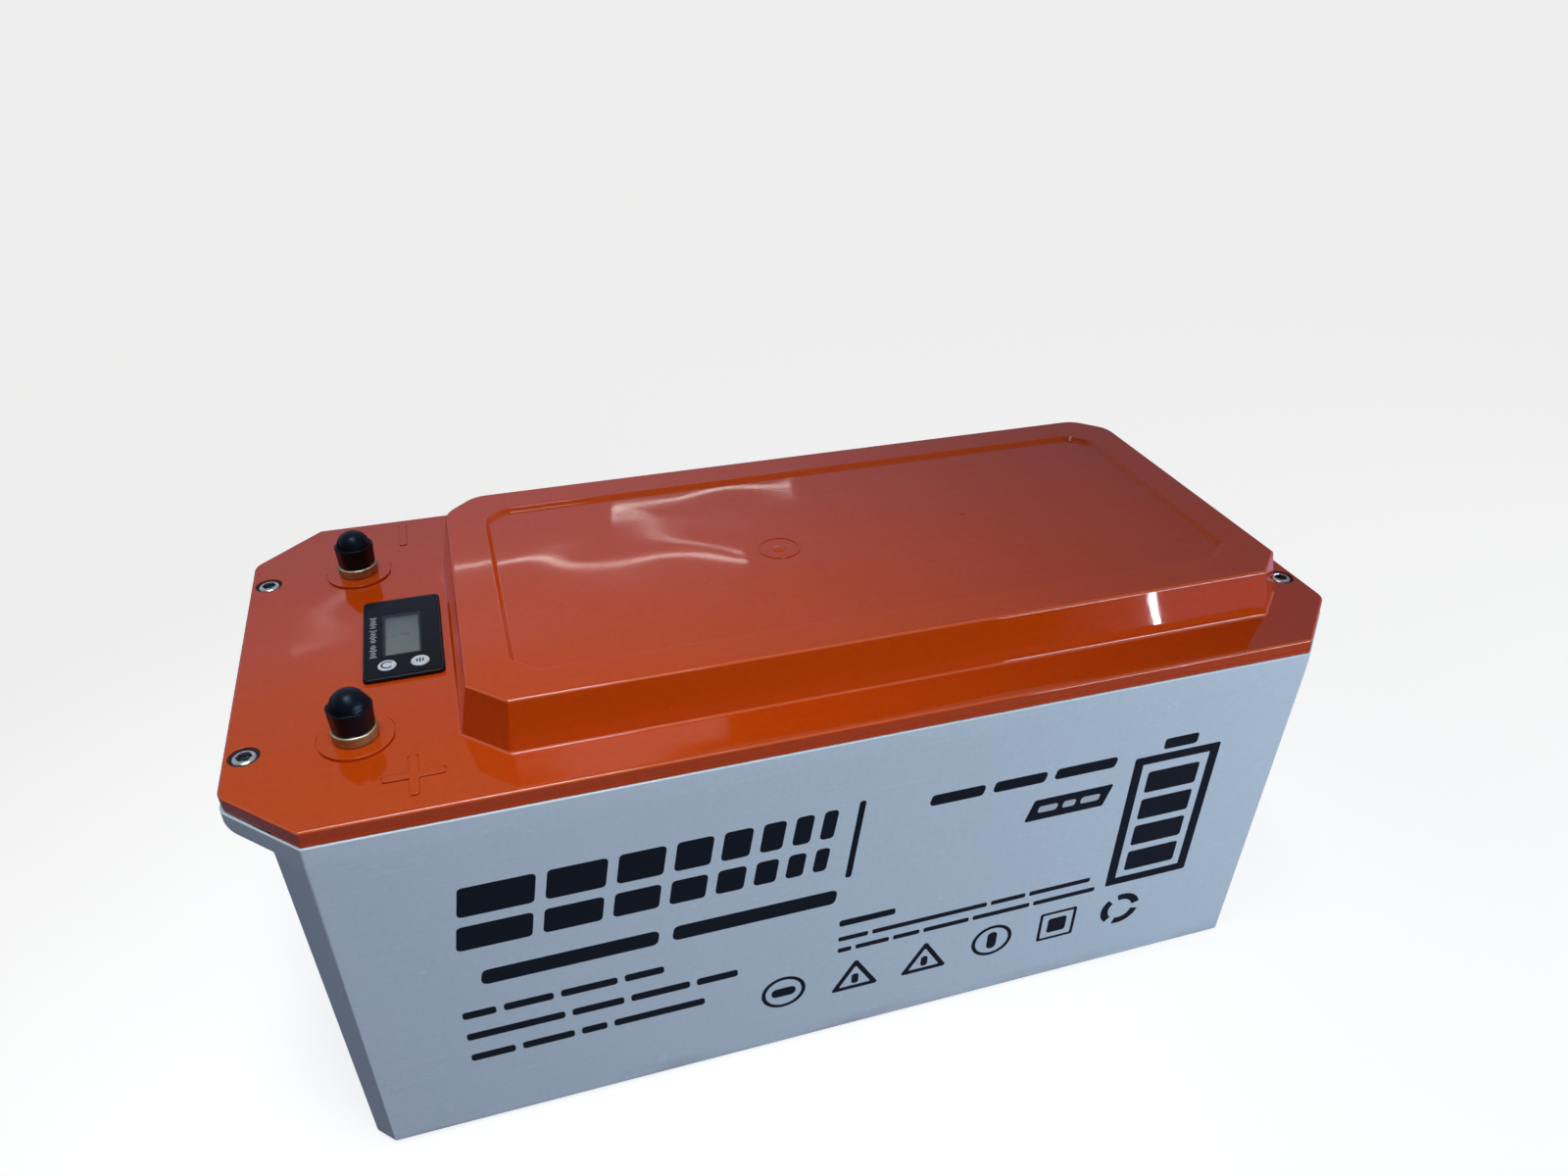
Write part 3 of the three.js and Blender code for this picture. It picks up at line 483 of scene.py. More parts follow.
def lid_plastic():
    look = Look("lid_orange_abs", ior=1.56)
    base = look.mottled((0.62, 0.064, 0.0025, 1), 0.95, 1.05, 300)
    base = look.blend(look.patches(420, 2, 0.74, 0.82, 0.25), base, (0.55, 0.25, 0.17, 1))
    # Painted highlight: front-facing rounded edges away from the recess are blended towards a paler orange.
    edges = look.math("MULTIPLY", look.painted_highlight_edges(), outside_recess(look))
    look.colour(look.blend(look.math("MULTIPLY", edges, 0.45), base, (0.86, 0.2, 0.09, 1)))
    smears = look.remap(look.noise(18, 5, (1, 2.2, 1), 0.8), 0.35, 0.75, 0.03, 0.07)
    lines = look.hairlines(60, (0.5, 25, 1))
    look.roughness(look.math("ADD", smears, look.math("MULTIPLY", lines, 0.04)))
    look.grain(11, 0.8, 0.0014)
    look.grain(650, 2, 0.000004)
    return look.material


def outside_recess(look):
    """1 away from the recessed panel, 0 on it and on its bevels; it keeps the painted edge highlight off the
    recess.
    """
    margin = 4
    half_length = (DOME.right - DOME.left) / 2 - RECESS.inset + margin
    half_width = DOME.width / 2 - RECESS.inset + margin
    past = []
    for axis, centre, half in [("X", DOME_MIDDLE, half_length), ("Y", 0, half_width)]:
        for side in (-1, 1):
            edge = (centre + side * half) * MM
            past.append(look.remap(look.axis(axis), edge, edge + side * MM))
    in_length = look.math("ADD", past[0], past[1])
    return look.math("ADD", in_length, look.math("ADD", past[2], past[3]))


def cap_plastic():
    look = Look("cap_black_pe", ior=1.36)
    look.colour(look.mottled((0.002, 0.0035, 0.0075, 1), 0.75, 1.5, 120))
    look.gloss(300, 4, 0.32, 0.42)
    look.set("Specular Tint", (0.55, 0.77, 1.0, 1))
    look.grain(1600, 3, 0.00002)
    return look.material


def brass():
    look = Look("brass_turned", metallic=0.75)
    tarnish = look.remap(look.noise(220, 5), 0.35, 0.7, 0.1, 0.9)
    worn = look.blend(tarnish, (0.56, 0.43, 0.19, 1), (0.24, 0.17, 0.06, 1))
    # Painted highlight: front-facing rounded edges are blended towards a pale cream.
    look.colour(look.blend(look.math("MULTIPLY", look.painted_highlight_edges(), 0.9), worn, (1.0, 0.95, 0.78, 1)))
    rings = look.noise(60, 2, (1, 1, 70))
    look.roughness(look.remap(rings, 0.3, 0.7, 0.3, 0.46))
    look.relief(rings, 0.00002)
    return look.material


def stainless():
    """Bright steel, with painted shade inside the lid screws' sockets that also darkens all that lies lower.
    """
    look = Look("stainless_steel", metallic=1.0)
    steel = look.mottled((0.84, 0.87, 0.92, 1), 0.85, 1.05, 300)
    # Painted shade: below the screws' tops the steel is blended towards a dark blue-grey, standing in for
    # the shade in the sockets.
    socket_depth, brim = 0.0012, 0.0004
    socket = look.remap(look.axis("Z"), SCREW_TOP * MM - socket_depth, SCREW_TOP * MM - brim, 0.8, 0)
    look.colour(look.blend(socket, steel, (0.13, 0.14, 0.18, 1)))
    look.gloss(500, 4, 0.2, 0.34)
    look.grain(1200, 3, 0.000012)
    return look.material


def meter_film():
    look = Look("meter_gloss_film", ior=1.36)
    specks = look.patches(900, 2, 0.72, 0.78, 0.5)
    look.colour(look.blend(specks, (0.0016, 0.0042, 0.0085, 1), (0.09, 0.1, 0.11, 1)))
    look.gloss(60, 4, 0.06, 0.16)
    look.set("Specular IOR Level", 0.3)
    look.grain(70, 1, 0.00012)
    return look.material


def lcd_glass():
    look = Look("lcd_grey", ior=1.5)
    # Painted light: the display runs from a lighter colour at its front edge to a darker one at its back.
    across = look.remap(look.axis("Y"), -0.016, 0.019)
    base = look.blend(across, (0.26, 0.31, 0.25, 1), (0.145, 0.19, 0.18, 1))
    look.colour(look.blend(look.patches(700, 2, 0.35, 0.65, 0.25), base, (0.26, 0.29, 0.27, 1)))
    look.gloss(90, 3, 0.25, 0.4)
    look.grain(1100, 1, 0.000006)
    return look.material


def clear_window():
    look = Look("meter_clear_window", ior=1.45)
    look.set("Transmission Weight", 1.0)
    look.colour(look.blend(look.patches(60, 2, 0.3, 0.7), (0.9, 0.93, 0.92, 1), (0.96, 0.97, 0.97, 1)))
    look.gloss(140, 3, 0.0, 0.05)
    look.grain(80, 1, 0.00004)
    return look.material


def ink(name, colour):
    look = Look(name, ior=1.38)
    look.colour(look.blend(look.patches(520, 3, 0.68, 0.78, 0.4), colour, shade_of(colour, 2.2)))
    look.gloss(40, 4, 0.3, 0.46)
    look.grain(1300, 2, 0.00001)
    return look.material


def plastic(name, colour, mottling, gloss, grain, ior=1.5):
    """A moulded surface: mottled colour, varied gloss and a grain."""
    look = Look(name, ior=ior)
    look.colour(look.mottled(colour, *mottling))
    look.gloss(*gloss)
    look.grain(*grain)
    return look.material


def coating(name, colour, rough, grain_scale, grain_depth):
    """Rubber, silicone, board or film, as moulded or wrapped round a part."""
    mottling, gloss = (0.85, 1.15, 45), (120, 4, rough - 0.07, rough + 0.07)
    return plastic(name, colour, mottling, gloss, (grain_scale, 3, grain_depth))


def circuit_green():
    look = Look("solder_mask_green", coat=0.3)
    tracks = look.patches(240, 0, 0.5, 0.53, 1, (1, 0.25, 1))
    look.colour(look.blend(tracks, (0.008, 0.085, 0.03, 1), (0.015, 0.14, 0.05, 1)))
    look.gloss(80, 3, 0.25, 0.4)
    look.relief(tracks, 0.00003)
    return look.material


def woven(name, colour, scale):
    """Fine weave from two crossed stretched noises."""
    look = Look(name)
    threads = [look.noise(scale, 1, stretch) for stretch in [(1, 0.15, 1), (0.15, 1, 1)]]
    weave = look.math("MULTIPLY", threads[0], threads[1])
    look.colour(look.blend(look.remap(weave, 0.1, 0.4), shade_of(colour, 0.7), shade_of(colour, 1.2)))
    look.roughness(look.remap(weave, 0.1, 0.4, 0.75, 0.55))
    look.relief(weave, 0.0002)
    return look.material


def foam_grey():
    look = Look("closed_cell_foam")
    depth = look.add("TexVoronoi", {"Vector": look.place, "Scale": 700}).outputs["Distance"]
    look.colour(look.blend(look.remap(depth, 0.0, 0.8), (0.055, 0.056, 0.06, 1), (0.02, 0.02, 0.022, 1)))
    look.gloss(90, 3, 0.85, 1.0)
    look.relief(depth, 0.0004)
    return look.material


def aluminium():
    look = Look("aluminium_mill_finish", metallic=1.0)
    grain = look.noise(80, 3, (1, 40, 1))
    look.colour(look.mottled((0.76, 0.77, 0.78, 1), 0.85, 1.05, 50))
    look.roughness(look.remap(grain, 0.3, 0.7, 0.28, 0.46))
    look.relief(grain, 0.00003)
    return look.material


CAP_PLASTIC = cap_plastic()
BRASS = brass()
STAINLESS = stainless()
METER_BLACK = plastic(
    "meter_black_abs", (0.0035, 0.0035, 0.005, 1),
    (0.8, 1.5, 90), (200, 3, 0.28, 0.42), (1500, 2, 0.000015), 1.36,
)
KEY_WHITE = plastic(
    "key_white_silicone", (0.74, 0.77, 0.82, 1),
    (0.92, 1.05, 260), (600, 3, 0.4, 0.55), (1800, 2, 0.00001), 1.45,
)
RUBBER = coating("seal_black_rubber", (0.012, 0.012, 0.013, 1), 0.75, 700, 0.00003)
FRONT_INK = ink("front_print_navy", (0.0035, 0.0055, 0.01, 1))
WHITE_INK = ink("meter_print_white", (0.6, 0.64, 0.68, 1))
ALUMINIUM = aluminium()
FOAM = foam_grey()


# ---- case
def ledge_form(reach):
    """The case's outline where it reaches this far from the middle along X."""
    share = (reach - BODY_REACH) / CASE.ledge
    end_radius = BODY_END_RADIUS + share * (CORNER.end_radius - BODY_END_RADIUS)
    return form(2 * reach, WIDTH, reach - FRONT_CORNER_X, end_radius, CORNER.side_radius)


BODY_FORM = ledge_form(BODY_REACH)
RIM_FORM = ledge_form(RIM_REACH)


def case_sections():
    """One wall from the foot, up the outside, over the rim and down to the cavity's floor."""
    foot, fillet, rim_round, top = CASE.foot, CASE.fillet, CASE.rim_round, CASE.top_round
    wall, floor, draft = CASE.wall, CASE.floor, CASE.draft
    sections = moulding(BODY_FORM, arc(draft + foot, foot, foot, 270, 180))
    under_ledge = arc(BODY_REACH + fillet, RIM_BASE - fillet, fillet, 180, 90)
    lip = arc(RIM_REACH - rim_round, RIM_BASE + rim_round, rim_round, -90, 0)
    sections += [(octagon(ledge_form(reach)), z) for reach, z in under_ledge + lip]
    sections += moulding(RIM_FORM, arc(top, RIM_TOP - top, top, 180, 90))
    cavity = [(wall, RIM_TOP), (wall, RIM_BASE), (wall + draft, floor + foot), (wall + draft + foot, floor)]
    return sections + moulding(BODY_FORM, cavity)


def build_case():
    case = loft("case_shell", case_sections())
    radius, edge, base = BOSS.radius, BOSS.edge, RIM_BASE - BOSS.drop
    places = [centre_of(screw) for screw in SCREWS]
    boss = [(radius - edge, base), (radius, base + edge), (radius, RIM_BASE + OVERLAP)]
    combine(case, "UNION", [turned("boss", boss, place) for place in places])
    bore_base = base + BOSS.floor
    bores = [round_bar(BOSS.bore, bore_base, RIM_TOP + OVERLAP, place) for place in places]
    combine(case, "DIFFERENCE", bores)
    finish_piece(case, case_plastic(), replaces=["case_body"])


# ---- lid
def lid_form(growth, cut, radius, back_radius):
    """A form round the dome's middle, larger than its top by some growth on each side."""
    length, width = DOME.right - DOME.left + 2 * growth, DOME.width + 2 * growth
    return form(length, width, cut, radius, radius, DOME_MIDDLE, back_radius)


DOME_FORM = lid_form(DOME.draft, DOME.cut + DOME.draft, DOME.radius, DOME.back_radius)
RECESS_FORM = lid_form(-RECESS.inset, RECESS.cut, RECESS.radius, RECESS.back_radius)


def lid_inside():
    """From the dome's ceiling down to the tongue, and up through the seal's groove."""
    skin, wall = LID.skin, CASE.wall + GAP
    tongue_base = LID_BASE - LID.tongue
    groove_top = LID_BASE + GASKET.depth
    dome = moulding(DOME_FORM, [(skin + DOME.draft, DOME_CEILING), (skin, FLANGE_UNDERSIDE)])
    inner = wall + LID.tongue_wall
    tongue = [(inner, FLANGE_UNDERSIDE), (inner, tongue_base), (wall, tongue_base), (wall, LID_BASE)]
    inner, outer = GASKET.inner, GASKET.outer
    groove = [(inner, LID_BASE), (inner, groove_top), (outer, groove_top), (outer, LID_BASE)]
    return dome + moulding(BODY_FORM, tongue + groove)


def lid_outside():
    """Over the flange's edge, up the drafted dome and down into the recessed panel."""
    setback, edge = LID.setback, LID.edge
    flange = [(setback + LID.foot, LID_BASE)] + arc(setback + edge, FLANGE_TOP - edge, edge, 180, 90)
    slope = math.degrees(math.atan2(DOME.draft, LID_TOP - FLANGE_TOP))
    fillet, top = DOME.fillet, DOME.edge
    foot = arc(-fillet * DOME.fillet_share, FLANGE_TOP + fillet, fillet, 270, 360 - slope)
    shoulder = arc(DOME.draft + top, LID_TOP - top, top, 180 - slope, 90)
    bevel, sweep = RECESS.edge, RECESS.fillet
    lean = math.tan(math.radians(45 / 2))
    brink = arc(-bevel * lean, LID_TOP - bevel, bevel, 90, 45)
    bottom = arc(RECESS.depth + sweep * lean, RECESS_FLOOR + sweep, sweep, 225, 270)
    dome = moulding(DOME_FORM, foot + shoulder)
    return moulding(RIM_FORM, flange) + dome + moulding(RECESS_FORM, brink + bottom)


def plus_sign(inset):
    """A plus sign with rounded ends, moved inwards by inset."""
    far, near, radius = SIGN.length / 2 - inset, SIGN.width / 2 - inset, SIGN.radius
    arm = [(near, -near), (far, -near), (far, near)]
    corners = [Matrix.Rotation(i * math.pi / 2, 2) @ Vector(c) for i in range(4) for c in arm]
    return rounded(corners, [0.25, radius, radius] * 4, 3)


def minus_sign(inset):
    return panel((SIGN.width, SIGN.length), inset, SIGN.radius - inset, 3)


SIGNS = [((-177.4, -98), plus_sign), ((-177.4, 102), minus_sign)]


def raised_sign(outline_at, place):
    """A flat sign with softened top edges. outline_at gives its outline at an inset."""
    edge, top = SIGN.edge, FLANGE_TOP + SIGN.height
    levels = [(0, FLANGE_TOP - OVERLAP), (0, top - edge), (edge * 0.4, top - edge * 0.4), (edge, top)]
    return loft("mark", [(outline_at(inset), z) for inset, z in levels], place)


def lid_grooves():
    """Fine grooves that frame the terminal pads and the polarity signs, and the mould mark's dish."""
    above = FLANGE_TOP + OVERLAP
    radius, base = PAD.radius + PAD.groove, FLANGE_TOP - PAD.groove_depth
    tools = [round_bar(radius, base, above, centre_of(f"{pole}_terminal"), FINE_STEPS) for pole in POLES]
    base = FLANGE_TOP - SIGN.groove_depth
    tools += [prism("groove", outline(-SIGN.groove), base, above, place) for place, outline in SIGNS]
    radius = MOULD_MARK.dish
    dish = [(radius - 0.8, RECESS_FLOOR - MOULD_MARK.depth), (radius, RECESS_FLOOR)]
    dish.append((radius + 0.2, RECESS_FLOOR + 0.5))
    tools.append(turned("dish", dish, MOULD_MARK.place, MARK_STEPS))
    return tools


def lid_additions():
    """Terminal pads, polarity signs, and the ring and boss of the mould mark, and the gate mark."""
    radius, edge = PAD.radius, PAD.edge
    side = [(radius, FLANGE_TOP - 1.2)] + arc(radius - edge, PAD_TOP - edge, edge, 0, 90, 4)
    pieces = [turned("pad", side, centre_of(f"{pole}_terminal"), FINE_STEPS) for pole in POLES]
    pieces += [raised_sign(outline, place) for place, outline in SIGNS]
    floor, depth, place = RECESS_FLOOR, MOULD_MARK.depth, MOULD_MARK.place
    pieces.append(ring_mark(MOULD_MARK.ring, MOULD_MARK.ring_width, floor - depth, depth, place))
    radius = MOULD_MARK.boss
    boss = [(radius + 1, floor - 1), (radius + 1, floor - 0.3), (radius, floor), (1.2, floor + 0.1)]
    pieces.append(turned("boss", boss, place, 32))
    radius, edge, top = GATE_MARK.radius, GATE_MARK.edge, floor + GATE_MARK.height
    gate = [(radius, floor - 0.6), (radius, top - edge / 2), (radius - edge, top)]
    pieces.append(turned("gate", gate, GATE_MARK.place, 24))
    return pieces


def lid_cutouts():
    """Counterbored screw holes, terminal holes and the meter's window in the flange."""
    tools = []
    bore, edge, shank = COUNTERBORE.radius, COUNTERBORE.edge, COUNTERBORE.shank
    seat, above = FLANGE_TOP - COUNTERBORE.depth, FLANGE_TOP + OVERLAP
    flare = arc(bore + edge, FLANGE_TOP - edge, edge, 180, 90, 4)[:-1]
    flare += [(bore + edge, FLANGE_TOP + 0.01), (bore + edge, above)]
    for screw in SCREWS:
        profile = [(shank, LID_BASE - OVERLAP), (shank, seat), (bore, seat)] + flare
        tools.append(turned("bore", profile, centre_of(screw)))
    below = FLANGE_UNDERSIDE - OVERLAP
    for pole in POLES:
        place = centre_of(f"{pole}_terminal")
        tools.append(round_bar(TERMINAL.neck + GAP, below, PAD_TOP + OVERLAP, place))
    hole = panel(METER.body, -GAP, 0.5, 2)
    tools.append(prism("window", hole, below, above, centre_of("meter_housing")))
    return tools


def build_lid():
    lid = loft("lid_shell", lid_inside() + lid_outside())
    combine(lid, "DIFFERENCE", lid_grooves())
    combine(lid, "UNION", lid_additions())
    combine(lid, "DIFFERENCE", lid_cutouts())
    finish_piece(lid, lid_plastic(), replaces=["lid"], sharp=36)


# ---- screws, terminals and caps
def build_lid_screw(name):
    """Button head screw with a hexagon socket, and a black ring round its head that stands in for the shade
    in the counterbore's gap.
    """
    low, high = extent(name)
    top, seat = high.z, FLANGE_TOP - SCREW.seat
    radius, shank_radius = size_of(name)[0] / 2, SCREW.shank
    socket = hexagon(SCREW.socket, 0.12)
    tip = [(shank_radius - 1, low.z), (shank_radius, low.z + 1)]
    neck = [(shank_radius, seat - 0.4), (shank_radius + 0.3, seat)]
    head = [(radius - 0.2, seat), (radius, seat + 0.2), (radius, top - 0.95)]
    falls = [(0.1, 0.75), (0.35, 0.5), (0.7, 0.28), (1.1, 0.12), (1.5, 0)]
    crown = [(radius - setback, top - fall) for setback, fall in falls]
    sections = round_sections(socket, tip + neck + head + crown)
    sections += [(hexagon(SCREW.socket_mouth, 0.15), top - 0.02), (socket, top - 0.3)]
    sections += [(socket, seat + 0.6), (hexagon(SCREW.socket_end, 0.1), seat + 0.3)]
    screw = loft(f"{name}_button_head", sections, centre_of(name))
    finish_piece(screw, STAINLESS, replaces=[name], sharp=40)
    # Painted shade: a black rubber ring fills the counterbore's gap round the head, standing in for the
    # shade there.
    outer, inner, base = COUNTERBORE.radius - 0.05, radius + 0.05, FLANGE_TOP - COUNTERBORE.depth
    washer = flat_ring(f"{name}_gap_shade_ring", outer, inner, base + 0.02, FLANGE_TOP - 0.5, centre_of(name))
    finish_piece(washer, RUBBER)


def build_terminal(pole):
    """Turned brass collar, neck and stud, with a bore for the bolt."""
    node = f"{pole}_terminal"
    low, high = extent(node)
    radius, top = size_of(node)[0] / 2, high.z
    tail, neck, bore, edge = TERMINAL.tail, TERMINAL.neck, TERMINAL.bore, TERMINAL.edge
    collar_base = PAD_TOP + GAP
    step = FLANGE_UNDERSIDE - GAP
    profile = [(tail - 0.6, low.z), (tail, low.z + 0.6), (tail, step - 1), (neck, step)]
    profile += [(neck, collar_base), (radius - 0.3, collar_base), (radius, collar_base + 0.3)]
    profile += arc(radius - edge, top - edge, edge, 0, 90, 5)
    profile += [(bore + 0.7, top), (bore, top - 0.7), (bore, top - TERMINAL.bore_depth)]
    terminal = turned(f"{node}_turned", profile, centre_of(node), FINE_STEPS)
    finish_piece(terminal, BRASS, replaces=[node], sharp=38)


def build_terminal_bolt(pole):
    """Hexagon bolt whose head is chamfered to a cone, and the washer under it."""
    node = f"{pole}_terminal_bolt"
    low, high = extent(node)
    flats, shank, face = BOLT.flats, BOLT.shank, BOLT.washer_face
    head_base = high.z - BOLT.head
    outline = hexagon(flats, 0.25)
    stem = [(shank - 0.7, low.z), (shank, low.z + 0.8), (shank, head_base - 0.2), (5.9, head_base - 0.1)]
    cone = [(flats / 2 + 1.0 - 0.25 * i, high.z - 0.7 + 0.175 * i) for i in range(5)]
    sections = round_sections(outline, stem)
    sections += [(within(outline, face), head_base), (outline, head_base + 0.3)]
    sections += [(within(outline, radius), z) for radius, z in cone]
    sections += round_sections(outline, [(4.9, high.z - 0.1)])
    bolt = loft(f"{node}_head", sections, centre_of(node))
    finish_piece(bolt, STAINLESS, replaces=[node], sharp=30)

    washer_node = f"{pole}_terminal_washer"
    low, high = extent(washer_node)
    outer, inner = size_of(washer_node)[0] / 2, shank + 0.3
    washer = flat_ring(f"{washer_node}_plain", outer, inner, low.z, high.z, centre_of(washer_node))
    finish_piece(washer, STAINLESS, replaces=[washer_node])


def build_cap(pole):
    """Push-on cap: a soft hexagonal skirt that widens upwards, a rolled lip and a round dome."""
    node = f"{pole}_terminal_cap"
    low, high = extent(node)
    base, shoulder = low.z, low.z + CAP.shoulder
    flats, corner, wall, lip = min(size_of(node)), CAP.corner, CAP.wall, CAP.lip
    hollow, hollow_top = hexagon(flats - 2 * wall, corner - wall), base + CAP.hollow
    sections = round_sections(hollow, [(1, hollow_top + 0.6), (6, hollow_top + 0.5)])
    sections += [(hollow, hollow_top), (hollow, base + 0.5)]
    foot = [(1.9, base), (1.3, base), (0.9, base + 0.35), (0.15, shoulder - 2)]
    rolled = [(2 * (lip - u), z) for u, z in arc(0, shoulder - lip, lip, 0, 115, 6)]
    sections += [(hexagon(flats - narrower, corner), z) for narrower, z in foot + rolled]
    dome = [(CAP.dome + 0.2, shoulder - 0.2)]
    for angle in range(6, 90, 6):
        turn = math.radians(angle)
        dome.append((CAP.dome * math.cos(turn), high.z - CAP.dome_height * (1 - math.sin(turn))))
    sections += round_sections(hexagon(flats - wall, corner), dome)
    cap = loft(f"{node}_soft", sections, centre_of(node))
    finish_piece(cap, CAP_PLASTIC, f"{pole}_cap", [node], sharp=50)


# ---- meter
def meter_tools(base, top, window_inset, key_gap):
    """Tools that open a sheet of the meter round its display window and its keys."""
    window = panel(size_of("meter_window"), window_inset, 0.4, 2)
    tools = [prism("opening", window, base, top, centre_of("meter_window"))]
    for key in KEYS:
        tools.append(round_bar(size_of(key)[0] / 2 + key_gap, base, top, centre_of(key)))
    return tools


def build_meter_bezel():
    """A hollow body in the flange under a bezel with a softened rim and a sunk face."""
    low, high = extent("meter_housing")
    size, top, base = size_of("meter_housing"), high.z, FLANGE_TOP + GAP
    corner, edge, border = METER.corner, METER.edge, METER.border
    outer = panel(METER.body, 0, 0.5)
    inner = panel(METER.body, METER.wall, 0.4)
    sections = [(inner, FLANGE_TOP + 0.2), (inner, low.z), (outer, low.z), (outer, base)]
    rim = [(0, base)] + arc(edge, top - edge, edge, 180, 90)
    sections += [(panel(size, inset, corner), z) for inset, z in rim]
    sections.append((panel(size, border, 1.7), top))
    sections.append((panel(size, border + METER.sill, 1.5), top - METER.sill))
    housing = loft("meter_bezel", sections, centre_of("meter_housing"))
    seat = panel(size_of("meter_window"), -GAP, 0.4, 2)
    tools = [prism("seat", seat, top - 1.2, top + OVERLAP, centre_of("meter_window"))]
    tools += meter_tools(FLANGE_TOP - 2, top + OVERLAP, 1, GAP)
    combine(housing, "DIFFERENCE", tools)
    finish_piece(housing, METER_BLACK, replaces=["meter_housing"])


def build_meter_film():
    """The glossy film on the bezel's face, with a raised ring round each key."""
    size, top = size_of("meter_housing"), extent("meter_housing")[1].z
    inset, face = METER.film, top - 0.02
    levels = [(inset, top - 0.24), (inset, top - 0.07), (inset + 0.1, face)]
    sections = [(panel(size, u, 1.4), z) for u, z in levels]
    film = loft("meter_face_film", sections, centre_of("meter_housing"))
    combine(film, "DIFFERENCE", meter_tools(top - OVERLAP, top + OVERLAP, -0.05, 0.1))
    rings = [ring_mark(size_of(key)[0] / 2 + 1, 0.8, face, 0.1, centre_of(key)) for key in KEYS]
    combine(film, "UNION", rings)
    finish_piece(film, meter_film())


def build_meter_scale():
    """A printed column of plain ticks beside the display, in three groups."""
    window_low, window_high = extent("meter_window")
    level = extent("meter_housing")[1].z - 0.02
    middle, first = window_low.x - 4, window_low.y + 0.6
    count, gaps = 25, (8, 17)
    pitch = (window_high.y - window_low.y - 2) / (count - 1)
    ticks = []
    for i in range(count):
        reach = (3.2, 2.0, 2.6, 1.7)[i % 4]
        if i not in gaps:
            tick = rectangle(reach, 0.45, 0.15, middle, first + i * pitch, 2)
            ticks.append(prism("tick", tick, level, level + 0.04))
    finish_piece(merge("meter_scale_ticks", ticks), WHITE_INK)


def ring_outline(radius, width, start=40, end=320, steps=30):
    outer = arc(0, 0, radius, start, end, steps)
    inner = arc(0, 0, radius - width, end, start, steps)
    return [Vector(p) for p in outer + inner]


def build_key(label, node, outlines):
    """A softly crowned round key with a printed symbol."""
    low, high = extent(node)
    radius, top, place = size_of(node)[0] / 2, high.z, centre_of(node)
    shoulder, edge = top - 0.55, 0.5
    profile = [(radius, low.z), (radius, shoulder)] + arc(radius - edge, shoulder, edge, 0, 80, 5)
    profile += [(radius * 0.6, top - 0.03), (radius * 0.25, top)]
    body = f"{label}_button"
    key = turned(f"meter_{label}_key", profile, place)
    finish_piece(key, KEY_WHITE, body, [node], sharp=50)
    prints = [prism("print", outline, top - 0.035, top + 0.025, place) for outline in outlines]
    symbol = merge(f"meter_{label}_symbol", prints)
    finish_piece(symbol, FRONT_INK, body)


def build_meter():
    """The meter, with an open ring on one key and three bars on the other."""
    build_meter_bezel()
    build_meter_film()
    build_meter_scale()
    build_key("select", KEYS[0], [ring_outline(2.7, 0.75)])
    bars = [rectangle(0.7, 3.2 - abs(i) * 0.7, 0.2, i * 1.3, 0, 2) for i in (-1, 0, 1)]
    build_key("set", KEYS[1], bars)


# ---- printed graphics on the front, all plain shapes
def front_point(x, z, lift):
    """A point on the drafted front face, this far out of it."""
    height = RIM_BASE - CASE.foot
    slope = math.atan2(CASE.draft, height)
    y = -WIDTH / 2 + CASE.draft * (RIM_BASE - z) / height
    return (x, y - lift * math.cos(slope), z - lift * math.sin(slope))


def front_plate(outline, thickness=0.06):
    """A thin inked shape on the front face from an outline in X and Z."""
    ring = len(outline)
    corners = [front_point(p.x, p.y, lift) for lift in (-0.03, thickness) for p in outline]
    faces = [list(range(ring)), list(range(ring, 2 * ring))[::-1]]
    faces += [[i, ring + i, ring + (i + 1) % ring, (i + 1) % ring] for i in range(ring)]
    return make_object("plate", corners, faces)


def bar(left, right, base, top, radius=1.0, slant=0.0):
    """A bar whose top leans by slant towards +X."""
    corners = [(left, base), (right, base), (right + slant, top), (left + slant, top)]
    return rounded(corners, [radius] * 4, 3)


def front_ring(x, z, radius, width, start=0, end=359.9):
    return [p + Vector((x, z)) for p in ring_outline(radius, width, start, end, 40)]


def polygon_ring(x, z, sides, radius, width, first):
    """A closed frame with rounded corners, as two halves that meet."""
    def corners(reach):
        angles = [math.radians(first + 360 * i / sides) for i in range(sides)]
        return [(x + reach * math.cos(a), z + reach * math.sin(a)) for a in angles]
    outer = rounded(corners(radius), [1.2] * sides, 4)
    inner = rounded(corners(radius - width), [0.5] * sides, 4)
    half = len(outer) // 2
    first_half = outer[: half + 1] + inner[: half + 1][::-1]
    second_half = outer[half:] + outer[:1] + inner[:1] + inner[half:][::-1]
    return [first_half, second_half]


def print_piece(name, outlines, material=FRONT_INK, thickness=0.06):
    piece = merge(name, [front_plate(outline, thickness) for outline in outlines])
    finish_piece(piece, material, sharp=60)


def word_bars(left, right, middle, height, words, slant=0.0):
    """A line of print stood in for by one bar per word, in proportion to the words' lengths."""
    gap = height * 0.7
    scale = (right - left - gap * (len(words) - 1)) / sum(words)
    bars = []
    for word in words:
        width = word * scale
        radius = min(height, width) * 0.3
        bars.append(bar(left, left + width, middle - height / 2, middle + height / 2, radius, slant))
        left += width + gap
    return bars


def stripe_band():
    """Slanted blocks that narrow to the right, split by a level slit, and a thin stroke after them."""
    left, width, gap, shrink, shift = -174.0, 31.0, 4.4, 0.8, 2.8
    blocks = []
    for _ in range(8):
        blocks.append(bar(left, left + width, 118, 132, 2, 2))
        blocks.append(bar(left + shift, left + width + shift, 137.5, 154, 2, 2.4))
        left += width + gap
        width *= shrink
    blocks.append(bar(left + 5, left + 8, 110, 156, 1.2, 5))
    return blocks


